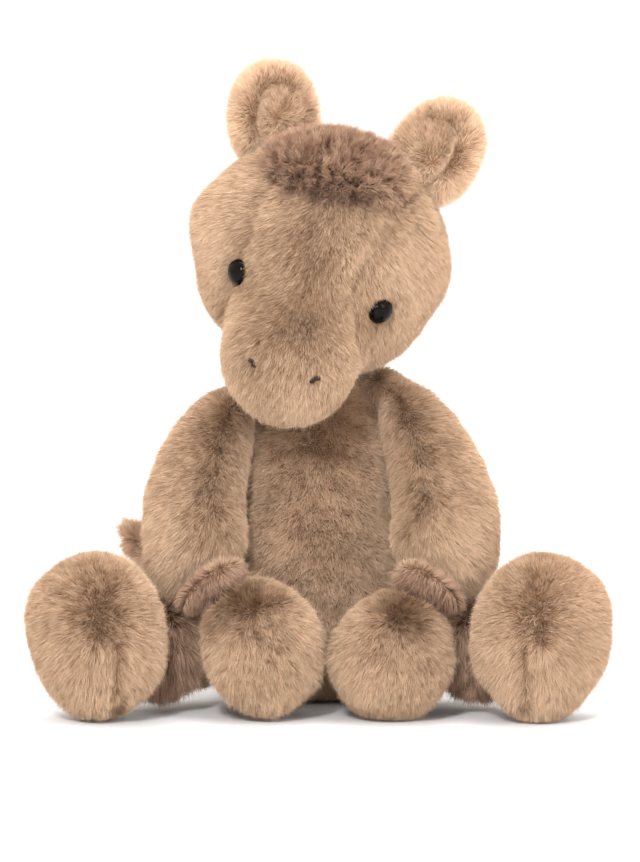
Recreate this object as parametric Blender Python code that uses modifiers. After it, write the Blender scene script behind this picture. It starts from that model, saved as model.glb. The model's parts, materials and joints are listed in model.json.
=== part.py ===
"""Sitting plush horse: stuffed forms joined at soft seams.

Metres, +Z up. The toy faces -Y and sits on Z = 0, with +X at the viewer's right. Left and right in the
names are the toy's own. Each limb ends in a small round seam ball, which sits in a socket of the larger
form beside it, so every seam can bend.
"""

import math

import bmesh
import bpy
from mathutils import Matrix, Vector

COLLECTION = "plush_horse"
SIDES = {"left": 1, "right": -1}

# Clearances and the flat that a resting form gets
GAP = 0.0003
FLAT_CUT = 0.0005
OVERRUN = 0.01

# Torso: a pear that is widest low down
TORSO_HEIGHT = 0.137
TORSO_WIDTH = 0.086
TORSO_DEPTH = 0.076
TORSO_SEGMENTS = 10
# height, width, depth
TORSO_SHARES = (
    (0.02, 0.66, 0.66),
    (0.15, 0.99, 0.99),
    (0.40, 1.04, 1.04),
    (0.66, 0.87, 0.86),
    (0.84, 0.77, 0.70),
    (0.96, 0.57, 0.52),
)

# Neck: two stacked balls, the lower in the torso's dish and the upper in the head's socket
NECK_RADIUS = 0.0195
NECK_HEIGHT = 0.120
NOD_RADIUS = 0.0165
NOD_RISE = 0.0175
NECK_ROOM = 0.0035
NECK_STEPS = 24
NECK_RINGS = 12
NECK_ARC_POINTS = 5

# Head: its frame is rolled, turned and pitched as the toy holds it
HEAD_RIGHT = 0.003
HEAD_FORWARD = 0.012
HEAD_HEIGHT = 0.186
HEAD_ROLL_DEG = 15.0
HEAD_TURN_DEG = -4.5
HEAD_PITCH_DEG = 47.0
SKULL_WIDTH = 0.100
SKULL_DEPTH = 0.090
SKULL_BACK = 0.046
HEAD_SEGMENTS = 10
# place behind the skull's centre, width, depth, and how far the cheeks hang
SKULL_SHARES = (
    (0.90, 0.50, 0.50, 0.0),
    (0.52, 0.90, 0.85, 0.0),
    (0.04, 1.03, 1.02, 0.0),
    (-0.37, 1.01, 0.99, 0.02),
    (-0.66, 0.86, 0.86, 0.06),
)
MUZZLE_REACH = 0.086
MUZZLE_WIDTH = 0.051
MUZZLE_DEPTH = 0.052
# place ahead of the skull's centre, width, depth, and how far the jaw hangs
MUZZLE_SHARES = (
    (0.46, 1.16, 1.20, 0.06),
    (0.60, 1.03, 1.06, 0.0),
    (0.75, 1.08, 1.06, 0.0),
    (0.90, 0.86, 0.88, 0.0),
    (0.975, 0.46, 0.48, 0.0),
)

# Safety eyes: a dome on a ridged shank, held by a lock washer
EYE_RADIUS = 0.0052
EYE_DOME = 0.0036
EYE_RIM = 0.0008
EYE_SINK = 0.0014
SHANK_RADIUS = 0.0021
SHANK_LENGTH = 0.013
SHANK_RIDGE = 0.0003
SHANK_RIDGES = 3
WASHER_RADIUS = 0.0062
WASHER_THICKNESS = 0.0016
WASHER_COLLAR_RADIUS = 0.0038
WASHER_COLLAR = 0.0012
WASHER_DEPTH = 0.0052
EYE_STEPS = 12
EYE_ARC_POINTS = 4
EYE_SPREAD = 0.0285
EYE_REACH = 0.034
EYE_RISE = 0.013

# Nostrils: stitched beads in small dents
NOSTRIL_LENGTH = 0.0052
NOSTRIL_THICKNESS = 0.0024
NOSTRIL_SPREAD = 0.0125
NOSTRIL_REACH = 0.0775
NOSTRIL_RISE = 0.014
NOSTRIL_SLANT_DEG = 35.0
BEAD_SEGMENTS = 8
BEAD_RINGS = 6

# Ears: cupped pads with a lining, hinged on a bead along the base
EAR_SPREAD = 0.0305
EAR_BACK = 0.007
EAR_RISE = 0.0365
EAR_SPLAY_DEG = 17.0
EAR_LEAN_DEG = 4.0
EAR_HEIGHT = 0.0455
EAR_ROOT = 0.012
EAR_CREASE = 0.0024
EAR_WIDTH = 0.033
EAR_THICKNESS = 0.0105
EAR_CUP = 0.007
EAR_BEAD_RADIUS = 0.0052
EAR_BEAD_LENGTH = 0.026
EAR_SEGMENTS = 6
# height, width, thickness
EAR_SHARES = (
    (0.08, 0.70, 0.80),
    (0.36, 1.02, 1.12),
    (0.70, 1.06, 1.10),
    (0.94, 0.66, 0.84),
)
LINING_HEIGHT = 0.024
LINING_WIDTH = 0.020
LINING_THICKNESS = 0.0040
LINING_RISE = 0.0055
LINING_PROUD = 0.0018

# Forelock on the crown and the mane behind it
FORELOCK_WIDTH = 0.063
FORELOCK_LENGTH = 0.046
FORELOCK_THICKNESS = 0.028
FORELOCK_RIGHT = 0.003
FORELOCK_FORWARD = 0.017
FORELOCK_RISE = 0.0315
FORELOCK_LEAN_DEG = 30.0
FORELOCK_SKEW_DEG = -6.0
EAR_ROOM_RADIUS = 0.0112
MANE_WIDTH = 0.022
MANE_THICKNESS = 0.020
MANE_BACK = 0.050
MANE_TOP = 0.040
MANE_DROP = 0.030
MANE_SEGMENTS = 6
# back, up
MANE_PATH_SHARES = (
    (0.36, 1.02),
    (0.80, 0.92),
    (1.00, 0.10),
    (0.80, -0.72),
)
MANE_SHARES = (
    (0.04, 0.62, 0.62),
    (0.30, 1.00, 1.00),
    (0.66, 1.00, 1.00),
    (0.95, 0.60, 0.60),
)

# Arms: from the shoulder ball they bow outward, then run in to the wrist band
SHOULDER_SPREAD = 0.0335
SHOULDER_FORWARD = 0.008
SHOULDER_HEIGHT = 0.121
SHOULDER_RADIUS = 0.0105
SHOULDER_CREASE = 0.0012
ARM_WIDTH = 0.041
ARM_OUT = 0.027
ARM_FORWARD = 0.043
ARM_DROP = 0.063
ARM_SEGMENTS = 8
# outward, forward, down
ARM_PATH_SHARES = (
    (0.0, 0.0, 0.0),
    (0.50, 0.20, 0.12),
    (1.0, 0.66, 0.70),
    (0.46, 1.0, 1.0),
)
# place along the arm, width
ARM_SHARES = (
    (0.05, 0.46),
    (0.18, 0.76),
    (0.45, 0.98),
    (0.75, 1.02),
    (0.95, 0.86),
)

# Wrist bands and paws
WRIST_RADIUS = 0.0088
WRIST_BAND_LENGTH = 0.0145
WRIST_BAND_WIDTH = 0.0355
PAW_WIDTH = 0.0475
PAW_LENGTH = 0.053
PAW_SEGMENTS = 8
PAW_FORWARD_DEG = {"left": 20.0, "right": 22.0}
PAW_INWARD_DEG = {"left": 20.0, "right": 35.0}
# place along the paw, width
PAW_SHARES = (
    (0.06, 0.54),
    (0.34, 1.04),
    (0.68, 1.04),
    (0.95, 0.54),
)

# Legs: straight out from the hip ball, splayed, to the ankle band
HIP_SPREAD = 0.037
HIP_FORWARD = 0.014
HIP_HEIGHT = 0.023
HIP_RADIUS = 0.0098
LEG_WIDTH = 0.033
LEG_LENGTH = 0.053
LEG_SPLAY_DEG = 43.0
LEG_RISE_DEG = 5.0
LEG_SEGMENTS = 6
# place along the leg, width
LEG_SHARES = (
    (0.10, 0.50),
    (0.34, 1.00),
    (0.66, 1.10),
    (0.95, 0.84),
)

# Ankle bands and feet
ANKLE_RADIUS = 0.0092
ANKLE_BAND_LENGTH = 0.0175
ANKLE_BAND_WIDTH = 0.0375
FOOT_THICKNESS = 0.049
FOOT_WIDTH = 0.061
FOOT_HEIGHT = 0.066
FOOT_SEGMENTS = 8
# place along the foot, width
FOOT_SHARES = (
    (0.04, 0.58),
    (0.30, 1.02),
    (0.70, 1.02),
    (0.96, 0.58),
)

# A band swells between the limb's end and the seam ball: place, width
BAND_SHARES = (
    (0.10, 0.84),
    (0.50, 1.08),
    (0.88, 0.82),
)
BAND_SEGMENTS = 6
BAND_TUCK = 0.007

# Bean pouches: share of the form that each one fills, and the throats that lead to them
POUCH_SHARE = 0.46
SEAT_POUCH_WIDTH = 0.050
SEAT_POUCH_DEPTH = 0.040
SEAT_POUCH_HEIGHT = 0.024
SEAT_POUCH_RISE = 0.022
THROAT_RADIUS = 0.003
POUCH_SEGMENTS = 10
POUCH_RINGS = 6
BALL_SEGMENTS = 16
BALL_RINGS = 4
PAD_SEGMENTS = 16
PAD_RINGS = 10

# Closing seam in the back, and the thread that laces it
SEAM_HEIGHT = 0.030
SEAM_RISE = 0.052
SEAM_WIDTH = 0.0010
THREAD_RADIUS = 0.00045
THREAD_REACH = 0.0022
THREAD_CROSSINGS = 7
THREAD_SIDES_RESOLUTION = 1

# Tail: a soft tuft that sweeps to the toy's right
TAIL_RIGHT = 0.004
TAIL_BACK = 0.0385
TAIL_HEIGHT = 0.027
TAIL_ROOT_RADIUS = 0.0056
TAIL_SWEEP = 0.080
TAIL_BOW = 0.028
TAIL_LIFT = 0.041
TAIL_WIDTH = 0.020
TAIL_SEGMENTS = 6
# sideways, back, up
TAIL_PATH_SHARES = (
    (0.0, 0.0, 0.0),
    (0.10, 0.95, -0.06),
    (0.70, 1.05, 0.16),
    (1.0, 0.50, 1.0),
)
# place along the tail, width
TAIL_SHARES = (
    (0.12, 0.66),
    (0.36, 1.06),
    (0.66, 1.12),
    (0.92, 0.72),
)

TAN = (0.56, 0.37, 0.24)
BROWN = (0.20, 0.115, 0.075)
WARM_BROWN = (0.34, 0.20, 0.13)
BLACK = (0.006, 0.005, 0.005)
WHITE = (0.8, 0.78, 0.74)
LINEN = (0.55, 0.5, 0.42)
FUR_ROUGHNESS = 0.95
GLOSS_ROUGHNESS = 0.05
PLASTIC_ROUGHNESS = 0.45


def clear_scene():
    for thing in list(bpy.data.objects):
        bpy.data.objects.remove(thing)


def collection_named(name):
    group = bpy.data.collections.new(name)
    bpy.context.scene.collection.children.link(group)
    return group


clear_scene()
PARTS = collection_named(COLLECTION)
CUTTERS = collection_named("cutters")


def finish_of(name, colour, roughness):
    material = bpy.data.materials.new(name)
    material.use_nodes = True
    shader = material.node_tree.nodes["Principled BSDF"]
    shader.inputs["Base Color"].default_value = (*colour, 1.0)
    shader.inputs["Roughness"].default_value = roughness
    shader.inputs["Metallic"].default_value = 0.0
    return material


def frame_at(name, parent=None, place=(0, 0, 0), turn=None):
    """An empty that carries a body: its origin lies on the body's joint axis."""
    empty = bpy.data.objects.new(name, None)
    empty.empty_display_size = GAP
    PARTS.objects.link(empty)
    empty.parent = parent
    turn = turn or Matrix.Identity(3)
    empty.matrix_local = Matrix.Translation(Vector(place)) @ turn.to_4x4()
    bpy.context.view_layer.update()
    return empty


def object_of(name, mesh, frame, colour=TAN, roughness=FUR_ROUGHNESS):
    part = bpy.data.objects.new(name, mesh)
    PARTS.objects.link(part)
    part.parent = frame
    mesh.materials.append(finish_of(name, colour, roughness))
    mesh.shade_smooth()
    return part


def cutter_of(name, mesh, frame, place=(0, 0, 0), turn=None):
    tool = bpy.data.objects.new(name, mesh)
    CUTTERS.objects.link(tool)
    tool.parent = frame
    turn = turn or Matrix.Identity(3)
    tool.matrix_local = Matrix.Translation(Vector(place)) @ turn.to_4x4()
    tool.hide_render = True
    tool.display_type = "WIRE"
    return tool


def combine(part, tool, operation):
    step = part.modifiers.new(f"{operation.lower()} {tool.name}", "BOOLEAN")
    step.object = tool
    step.operation = operation
    step.solver = "EXACT"


def cut(part, tool):
    combine(part, tool, "DIFFERENCE")


def soften(part):
    """One round of subdivision turns a coarse cage into a stuffed form."""
    smooth = part.modifiers.new("stuffing", "SUBSURF")
    smooth.levels = 1
    smooth.render_levels = 1
    return part


def mesh_from(name, work):
    mesh = bpy.data.meshes.new(name)
    work.to_mesh(mesh)
    work.free()
    return mesh


def sphere_mesh(name, radii, segments=BALL_SEGMENTS, rings=BALL_RINGS, turn=None):
    """A sphere scaled to three half-sizes, then turned."""
    work = bmesh.new()
    bmesh.ops.create_uvsphere(work, u_segments=segments, v_segments=rings, radius=1.0)
    shape = (turn or Matrix.Identity(3)) @ Matrix.Diagonal(Vector(radii))
    for vertex in work.verts:
        vertex.co = shape @ vertex.co
    return mesh_from(name, work)


def box_mesh(name, size):
    work = bmesh.new()
    bmesh.ops.create_cube(work, size=1.0)
    for vertex in work.verts:
        vertex.co = Matrix.Diagonal(Vector(size)) @ vertex.co
    return mesh_from(name, work)


def rod_mesh(name, radius, length, segments=BALL_SEGMENTS):
    work = bmesh.new()
    bmesh.ops.create_cone(
        work, cap_ends=True, segments=segments, radius1=radius, radius2=radius, depth=length
    )
    return mesh_from(name, work)


def cage_mesh(name, start, stations, end, segments):
    """A closed cage: a sphere's rings laid out at stations of (centre, side, front), with a pole at each end."""
    work = bmesh.new()
    bmesh.ops.create_uvsphere(
        work, u_segments=segments, v_segments=len(stations) + 1, radius=1.0
    )
    # Subdivision draws a ring of this many points in by this share
    drawn_in_share = (4 + 2 * math.cos(math.tau / segments)) / 6
    for vertex in work.verts:
        down = math.acos(max(-1.0, min(1.0, vertex.co.z)))
        ring = round(down / math.pi * (len(stations) + 1))
        if ring == 0:
            vertex.co = start
        elif ring == len(stations) + 1:
            vertex.co = end
        else:
            centre, side, front = stations[ring - 1]
            around = math.atan2(vertex.co.y, vertex.co.x)
            out = side * math.cos(around) + front * math.sin(around)
            vertex.co = centre + out / drawn_in_share
    if work.calc_volume(signed=True) < 0:
        bmesh.ops.reverse_faces(work, faces=work.faces)
    return mesh_from(name, work)


def bezier(points, share):
    """Place and direction on a cubic curve."""
    a, b, c, d = points
    rest = 1 - share
    place = a * rest**3 + b * (3 * rest**2 * share) + c * (3 * rest * share**2) + d * share**3
    along = (b - a) * rest**2 + (c - b) * (2 * rest * share) + (d - c) * share**2
    return place, along.normalized()


def straight(start, end):
    return [start.lerp(end, third / 3) for third in range(4)]


def limb_mesh(name, points, shares, width, depth, segments, up, grow=0.0):
    """A stuffed tube along a curve; grow makes the same shape larger all round, for cutting its neighbours."""
    stations = []
    for place_share, *size_shares in shares:
        centre, along = bezier(points, place_share)
        side = up.cross(along).normalized()
        front = along.cross(side).normalized()
        wide, deep = size_shares[0], size_shares[-1]
        stations.append(
            (centre, side * (width / 2 * wide + grow), front * (depth / 2 * deep + grow))
        )
    first, first_way = bezier(points, 0.0)
    last, last_way = bezier(points, 1.0)
    return cage_mesh(
        name, first - first_way * grow, stations, last + last_way * grow, segments
    )


def lowest(part):
    bpy.context.view_layer.update()
    shown = part.evaluated_get(bpy.context.evaluated_depsgraph_get())
    return min((shown.matrix_world @ vertex.co).z for vertex in shown.data.vertices)


def seat_low(part):
    """Moves a form so that its lowest point is sunk by the flat that it is then cut to."""
    part.location.z -= lowest(part) + FLAT_CUT


def rest_flat(part):
    cut(part, FLOOR)


def surface_at(part, place, frame):
    """The point of a form nearest to a place in a frame, and the outward normal there, in that frame."""
    bpy.context.view_layer.update()
    shown = part.evaluated_get(bpy.context.evaluated_depsgraph_get())
    into = shown.matrix_world.inverted() @ frame.matrix_world
    found, near, normal, _ = shown.closest_point_on_mesh(into @ Vector(place))
    if not found:
        raise ValueError(f"nothing of {part.name} near {place}")
    back = into.inverted()
    return back @ near, (back.to_3x3() @ normal).normalized()


def facing(normal, side=Vector((1, 0, 0))):
    """A turn that carries +Z to the normal and keeps +X near a side."""
    z = normal.normalized()
    y = z.cross(side).normalized()
    x = y.cross(z)
    return Matrix((x, y, z)).transposed()


def turned_object(name, profile, steps, frame, place, turn, target):
    """A profile of (radius, height) from top to bottom, turned about +Z; one that ends where it starts is a ring."""
    work = bmesh.new()
    ring = profile[0] == profile[-1]
    outline = profile[:-1] if ring else profile
    rim = [work.verts.new((radius, 0, height)) for radius, height in outline]
    for upper, lower in zip(rim, rim[1:] + rim[:1] if ring else rim[1:]):
        work.edges.new((upper, lower))
    mesh = mesh_from(name, work)
    part = bpy.data.objects.new(name, mesh)
    target.objects.link(part)
    part.parent = frame
    part.matrix_local = Matrix.Translation(Vector(place)) @ turn.to_4x4()
    screw = part.modifiers.new("turned", "SCREW")
    screw.axis = "Z"
    screw.steps = steps
    screw.render_steps = steps
    screw.use_merge_vertices = True
    screw.merge_threshold = 0.00001
    screw.use_normal_calculate = False
    return part


def turned_part(name, profile, steps, frame, place, turn, colour, roughness):
    part = turned_object(name, profile, steps, frame, place, turn, PARTS)
    part.data.materials.append(finish_of(name, colour, roughness))
    part.modifiers["turned"].use_smooth_shade = True
    return part


def turned_cutter(name, profile, steps, frame, place, turn):
    tool = turned_object(name, profile, steps, frame, place, turn, CUTTERS)
    tool.hide_render = True
    tool.display_type = "WIRE"
    return tool


def arc(radius, rise, start_deg, end_deg, points):
    """Points of a circle about (0, rise), by angle above the level."""
    found = []
    for step in range(points):
        angle = math.radians(start_deg + (end_deg - start_deg) * step / (points - 1))
        found.append((max(0.0, radius * math.cos(angle)), rise + radius * math.sin(angle)))
    return found


FLOOR_SPREAD = 4 * (LEG_LENGTH + FOOT_WIDTH)
BODY = frame_at("torso_frame")
FLOOR = cutter_of(
    "floor", box_mesh("floor", (FLOOR_SPREAD, FLOOR_SPREAD, OVERRUN)), BODY, (0, 0, -OVERRUN / 2)
)


def ball_joint(limb, larger, name, frame, radius, hinge):
    """Joins a seam ball to the limb and cuts its socket in the larger form, with both poles on the hinge."""
    turn = facing(hinge, SIDEWAYS if hinge.cross(SIDEWAYS).length else UPWARD)
    ball = cutter_of(f"{name}_ball", sphere_mesh(name, (radius,) * 3, turn=turn), frame)
    combine(limb, ball, "UNION")
    room = (radius + GAP,) * 3
    cut(larger, cutter_of(f"{name}_socket", sphere_mesh(name, room, turn=turn), frame))


def pouch_in(form, name, frame, place, radii, turn=None):
    """A bean pouch in a pocket of its own shape."""
    pouch = object_of(
        name,
        sphere_mesh(name, radii, POUCH_SEGMENTS, POUCH_RINGS, turn),
        frame,
        LINEN,
    )
    pouch.location = place
    room = tuple(radius + GAP for radius in radii)
    pocket = sphere_mesh(name, room, POUCH_SEGMENTS, POUCH_RINGS, turn)
    cut(form, cutter_of(f"{name}_pocket", pocket, frame, place))
    return pouch


def throat_to(form, name, frame, start, end):
    """The way beans are poured in: a bore from the seam to the pocket."""
    way = end - start
    bore = rod_mesh(name, THROAT_RADIUS, way.length, POUCH_SEGMENTS)
    cut(form, cutter_of(f"{name}_throat", bore, frame, (start + end) / 2, facing(way, SIDEWAYS)))


SIDEWAYS = Vector((1, 0, 0))
UPWARD = Vector((0, 0, 1))
FORWARD = Vector((0, -1, 0))


def torso_cage(name, grow=0.0):
    stations = [
        (
            UPWARD * (TORSO_HEIGHT * height),
            SIDEWAYS * (TORSO_WIDTH / 2 * wide + grow),
            -FORWARD * (TORSO_DEPTH / 2 * deep + grow),
        )
        for height, wide, deep in TORSO_SHARES
    ]
    top = UPWARD * (TORSO_HEIGHT + grow)
    return cage_mesh(name, -UPWARD * grow, stations, top, TORSO_SEGMENTS)


def make_torso():
    torso = soften(object_of("torso", torso_cage("torso"), BODY))
    seat_low(torso)
    lace_back(torso)
    seat_place = Vector((0, 0, SEAT_POUCH_RISE))
    seat_radii = (SEAT_POUCH_WIDTH / 2, SEAT_POUCH_DEPTH / 2, SEAT_POUCH_HEIGHT / 2)
    pouch_in(torso, "seat_bean_pouch", BODY, seat_place, seat_radii)
    rest_flat(torso)
    return torso


def lace_back(torso):
    """The stuffing seam: a slit from the seat pocket out through the back, laced with one thread."""
    low = SEAT_POUCH_RISE
    high = SEAM_RISE + SEAM_HEIGHT / 2
    slit = box_mesh("slit", (SEAM_WIDTH, TORSO_DEPTH / 2 + OVERRUN, high - low))
    middle = (0, (TORSO_DEPTH / 2 + OVERRUN) / 2, (low + high) / 2)
    points = []
    for crossing in range(THREAD_CROSSINGS):
        side = 1 if crossing % 2 else -1
        share = crossing / (THREAD_CROSSINGS - 1) - 1 / 2
        aim = (side * THREAD_REACH, TORSO_DEPTH / 2, SEAM_RISE + SEAM_HEIGHT * share)
        near, normal = surface_at(torso, aim, BODY)
        points.append(near + normal * (THREAD_RADIUS / 2))
    thread = tube_mesh("closing_thread", points, THREAD_RADIUS)
    object_of("closing_thread", thread, BODY, LINEN)
    groove = tube_mesh("thread_groove", points, THREAD_RADIUS + GAP)
    cut(torso, cutter_of("slit", slit, BODY, middle))
    cut(torso, cutter_of("thread_groove", groove, BODY))


def tube_mesh(name, points, radius):
    """A round thread through points, closed and welded."""
    curve = bpy.data.curves.new(name, "CURVE")
    curve.dimensions = "3D"
    curve.bevel_depth = radius
    curve.bevel_resolution = THREAD_SIDES_RESOLUTION
    curve.use_fill_caps = True
    line = curve.splines.new("POLY")
    line.points.add(len(points) - 1)
    for slot, point in zip(line.points, points):
        slot.co = (*point, 1.0)
    guide = bpy.data.objects.new(name, curve)
    PARTS.objects.link(guide)
    shown = guide.evaluated_get(bpy.context.evaluated_depsgraph_get())
    mesh = bpy.data.meshes.new_from_object(shown)
    bpy.data.objects.remove(guide)
    work = bmesh.new()
    work.from_mesh(mesh)
    bmesh.ops.remove_doubles(work, verts=work.verts, dist=radius / 100)
    bmesh.ops.recalc_face_normals(work, faces=work.faces)
    work.to_mesh(mesh)
    work.free()
    return mesh


def make_neck(torso):
    frame = frame_at("neck_frame", BODY, (0, 0, NECK_HEIGHT))
    meet = (NOD_RISE**2 + NECK_RADIUS**2 - NOD_RADIUS**2) / (2 * NOD_RISE)
    upper = math.degrees(math.asin((meet - NOD_RISE) / NOD_RADIUS))
    lower = math.degrees(math.asin(meet / NECK_RADIUS))
    top = arc(NOD_RADIUS, NOD_RISE, 90, upper, NECK_ARC_POINTS)
    bottom = arc(NECK_RADIUS, 0, lower, -90, NECK_ARC_POINTS)
    profile = top + bottom[1:]
    turned_part(
        "neck", profile, NECK_STEPS, frame, (0, 0, 0), Matrix.Identity(3), TAN, FUR_ROUGHNESS
    )
    dish = sphere_mesh("neck_dish", (NECK_RADIUS + GAP,) * 3, NECK_STEPS, NECK_RINGS)
    cut(torso, cutter_of("neck_dish", dish, frame))
    collar = sphere_mesh("neck_collar", (NOD_RADIUS + GAP,) * 3, NECK_STEPS, NECK_RINGS)
    cut(torso, cutter_of("neck_collar", collar, frame, (0, 0, NOD_RISE)))
    return frame


def head_cage(name, grow=0.0):
    stations = []
    for back, wide, deep, hang in SKULL_SHARES:
        side = SIDEWAYS * (SKULL_WIDTH / 2 * wide + grow)
        front = UPWARD * (SKULL_DEPTH / 2 * deep + grow)
        drop = UPWARD * (SKULL_DEPTH * hang)
        stations.append((-FORWARD * (SKULL_BACK * back) - drop, side, front))
    for ahead, wide, deep, hang in MUZZLE_SHARES:
        side = SIDEWAYS * (MUZZLE_WIDTH / 2 * wide + grow)
        front = UPWARD * (MUZZLE_DEPTH / 2 * deep + grow)
        drop = UPWARD * (MUZZLE_DEPTH * hang)
        stations.append((FORWARD * (MUZZLE_REACH * ahead) - drop, side, front))
    back_pole = -FORWARD * (SKULL_BACK + grow)
    nose_pole = FORWARD * (MUZZLE_REACH + grow)
    return cage_mesh(name, back_pole, stations, nose_pole, HEAD_SEGMENTS)


def make_head(neck_frame):
    tilt = Matrix.Rotation(math.radians(HEAD_ROLL_DEG), 3, "Y") @ Matrix.Rotation(
        math.radians(HEAD_TURN_DEG), 3, "Z"
    )
    frame = frame_at("head_frame", neck_frame, (0, 0, NOD_RISE), tilt)
    nod = Vector((0, 0, NECK_HEIGHT + NOD_RISE))
    centre = Vector((HEAD_RIGHT, -HEAD_FORWARD, HEAD_HEIGHT)) - nod
    brow = frame_at("brow_frame", frame, tilt.inverted() @ centre)
    pitch = Matrix.Rotation(math.radians(HEAD_PITCH_DEG), 3, "X")
    skull = frame_at("skull_frame", brow, (0, 0, 0), pitch)
    head = soften(object_of("head", head_cage("head"), skull))
    for side in SIDES:
        make_eye(head, skull, side)
        make_nostril(head, skull, side)
    room = NOD_RADIUS + GAP
    cut(head, cutter_of("nod_socket", sphere_mesh("nod", (room,) * 3, NECK_STEPS, NECK_RINGS), frame))
    room = NECK_RADIUS + NECK_ROOM
    collar = sphere_mesh("collar", (room,) * 3, NECK_STEPS, PAD_RINGS)
    cut(head, cutter_of("collar_room", collar, neck_frame))
    grown = soften(cutter_of("head_grown", head_cage("head_grown", 2 * GAP), skull))
    make_crown(grown, brow)
    crease = soften(cutter_of("ear_crease", head_cage("ear_crease", EAR_CREASE), skull))
    for side in SIDES:
        make_ear(head, brow, crease, side)
    return head


def ridge_profile(grow):
    """The shank's outline from its root to its tip, with its ridges; grow is the room of a bore."""
    if grow:
        radius = SHANK_RADIUS + SHANK_RIDGE + grow
        return [(radius, 0), (radius, -SHANK_LENGTH - grow), (0, -SHANK_LENGTH - grow)]
    points = [(SHANK_RADIUS, -grow)]
    pitch = SHANK_LENGTH / (SHANK_RIDGES + 1)
    for ridge in range(1, SHANK_RIDGES + 1):
        place = -pitch * ridge
        points.append((SHANK_RADIUS, place + SHANK_RIDGE))
        points.append((SHANK_RADIUS + SHANK_RIDGE, place))
        points.append((SHANK_RADIUS, place - SHANK_RIDGE))
    tip = SHANK_RADIUS / 2
    points += [(SHANK_RADIUS, -SHANK_LENGTH + tip), (tip, -SHANK_LENGTH), (0, -SHANK_LENGTH)]
    return points


def make_eye(head, skull, side):
    """Dome and shank in one, its washer, and the recess, bore and pocket that they take in the head."""
    aim = (SIDES[side] * EYE_SPREAD, -EYE_REACH, EYE_RISE)
    near, normal = surface_at(head, aim, skull)
    turn = facing(normal)
    seat = near - normal * EYE_SINK
    bulge = (EYE_RADIUS**2 + EYE_DOME**2) / (2 * EYE_DOME)
    reach = math.degrees(math.asin(EYE_RADIUS / bulge))
    dome = arc(bulge, EYE_RIM + EYE_DOME - bulge, 90, 90 - reach, EYE_ARC_POINTS)
    profile = dome + [(EYE_RADIUS, 0)] + ridge_profile(0.0)
    turned_part(
        f"eye_{side}", profile, EYE_STEPS, skull, seat, turn, BLACK, GLOSS_ROUGHNESS
    )
    bore = SHANK_RADIUS + SHANK_RIDGE + GAP
    top = -WASHER_DEPTH
    foot = top - WASHER_THICKNESS
    washer = [
        (bore, top + WASHER_COLLAR),
        (WASHER_COLLAR_RADIUS, top + WASHER_COLLAR),
        (WASHER_COLLAR_RADIUS, top),
        (WASHER_RADIUS, top),
        (WASHER_RADIUS, foot),
        (bore, foot),
        (bore, top + WASHER_COLLAR),
    ]
    turned_part(
        f"eye_washer_{side}", washer, EYE_STEPS, skull, seat, turn, WHITE, PLASTIC_ROUGHNESS
    )
    rim = EYE_RADIUS + GAP
    pocket = WASHER_RADIUS + GAP
    collar = WASHER_COLLAR_RADIUS + GAP
    hollow = [
        (0, OVERRUN),
        (rim, OVERRUN),
        (rim, -GAP),
        (bore, -GAP),
        (bore, top + WASHER_COLLAR + GAP),
        (collar, top + WASHER_COLLAR + GAP),
        (collar, top + GAP),
        (pocket, top + GAP),
        (pocket, foot - GAP),
        (bore, foot - GAP),
        (bore, -SHANK_LENGTH - GAP),
        (0, -SHANK_LENGTH - GAP),
    ]
    cut(head, turned_cutter(f"eye_room_{side}", hollow, EYE_STEPS, skull, seat, turn))


def make_nostril(head, skull, side):
    aim = (SIDES[side] * NOSTRIL_SPREAD, -NOSTRIL_REACH, NOSTRIL_RISE)
    near, normal = surface_at(head, aim, skull)
    slant = Matrix.Rotation(math.radians(SIDES[side] * NOSTRIL_SLANT_DEG), 3, "Z")
    turn = facing(normal) @ slant
    radii = (NOSTRIL_LENGTH / 2, NOSTRIL_THICKNESS / 2, NOSTRIL_THICKNESS / 2)
    bead = object_of(
        f"nostril_stitch_{side}",
        sphere_mesh("nostril", radii, BEAD_SEGMENTS, BEAD_RINGS, turn),
        skull,
        BROWN,
    )
    bead.location = near
    room = tuple(radius + GAP for radius in radii)
    dent = sphere_mesh("dent", room, BEAD_SEGMENTS, BEAD_RINGS, turn)
    cut(head, cutter_of(f"nostril_dent_{side}", dent, skull, near))


def make_crown(grown_head, brow):
    """The forelock pad and the mane strip, both cut to lie on the head."""
    turn = Matrix.Rotation(math.radians(FORELOCK_SKEW_DEG), 3, "Y") @ Matrix.Rotation(
        math.radians(FORELOCK_LEAN_DEG), 3, "X"
    )
    radii = (FORELOCK_WIDTH / 2, FORELOCK_LENGTH / 2, FORELOCK_THICKNESS / 2)
    pad = sphere_mesh("forelock", radii, PAD_SEGMENTS, PAD_RINGS, turn)
    forelock = object_of("forelock", pad, brow, BROWN)
    forelock.location = (-FORELOCK_RIGHT, -FORELOCK_FORWARD, FORELOCK_RISE)
    cut(forelock, grown_head)
    points = [
        Vector((0, MANE_BACK * back, MANE_TOP * up if up > 0 else MANE_DROP * up))
        for back, up in MANE_PATH_SHARES
    ]
    strip = limb_mesh(
        "mane", points, MANE_SHARES, MANE_WIDTH, MANE_THICKNESS, MANE_SEGMENTS, SIDEWAYS
    )
    mane = soften(object_of("mane", strip, brow, BROWN))
    cut(mane, grown_head)
    pad_room = sphere_mesh(
        "forelock_room", tuple(r + GAP for r in radii), PAD_SEGMENTS, PAD_RINGS, turn
    )
    cut(mane, cutter_of("forelock_room", pad_room, brow, forelock.location))
    for side in SIDES:
        place, tilt = ear_place(side)
        rod = rod_mesh("ear_room", EAR_ROOM_RADIUS, EAR_WIDTH)
        across = tilt @ Matrix.Rotation(math.radians(90), 3, "Y")
        room = cutter_of(f"ear_room_{side}", rod, brow, place, across)
        cut(forelock, room)


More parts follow.
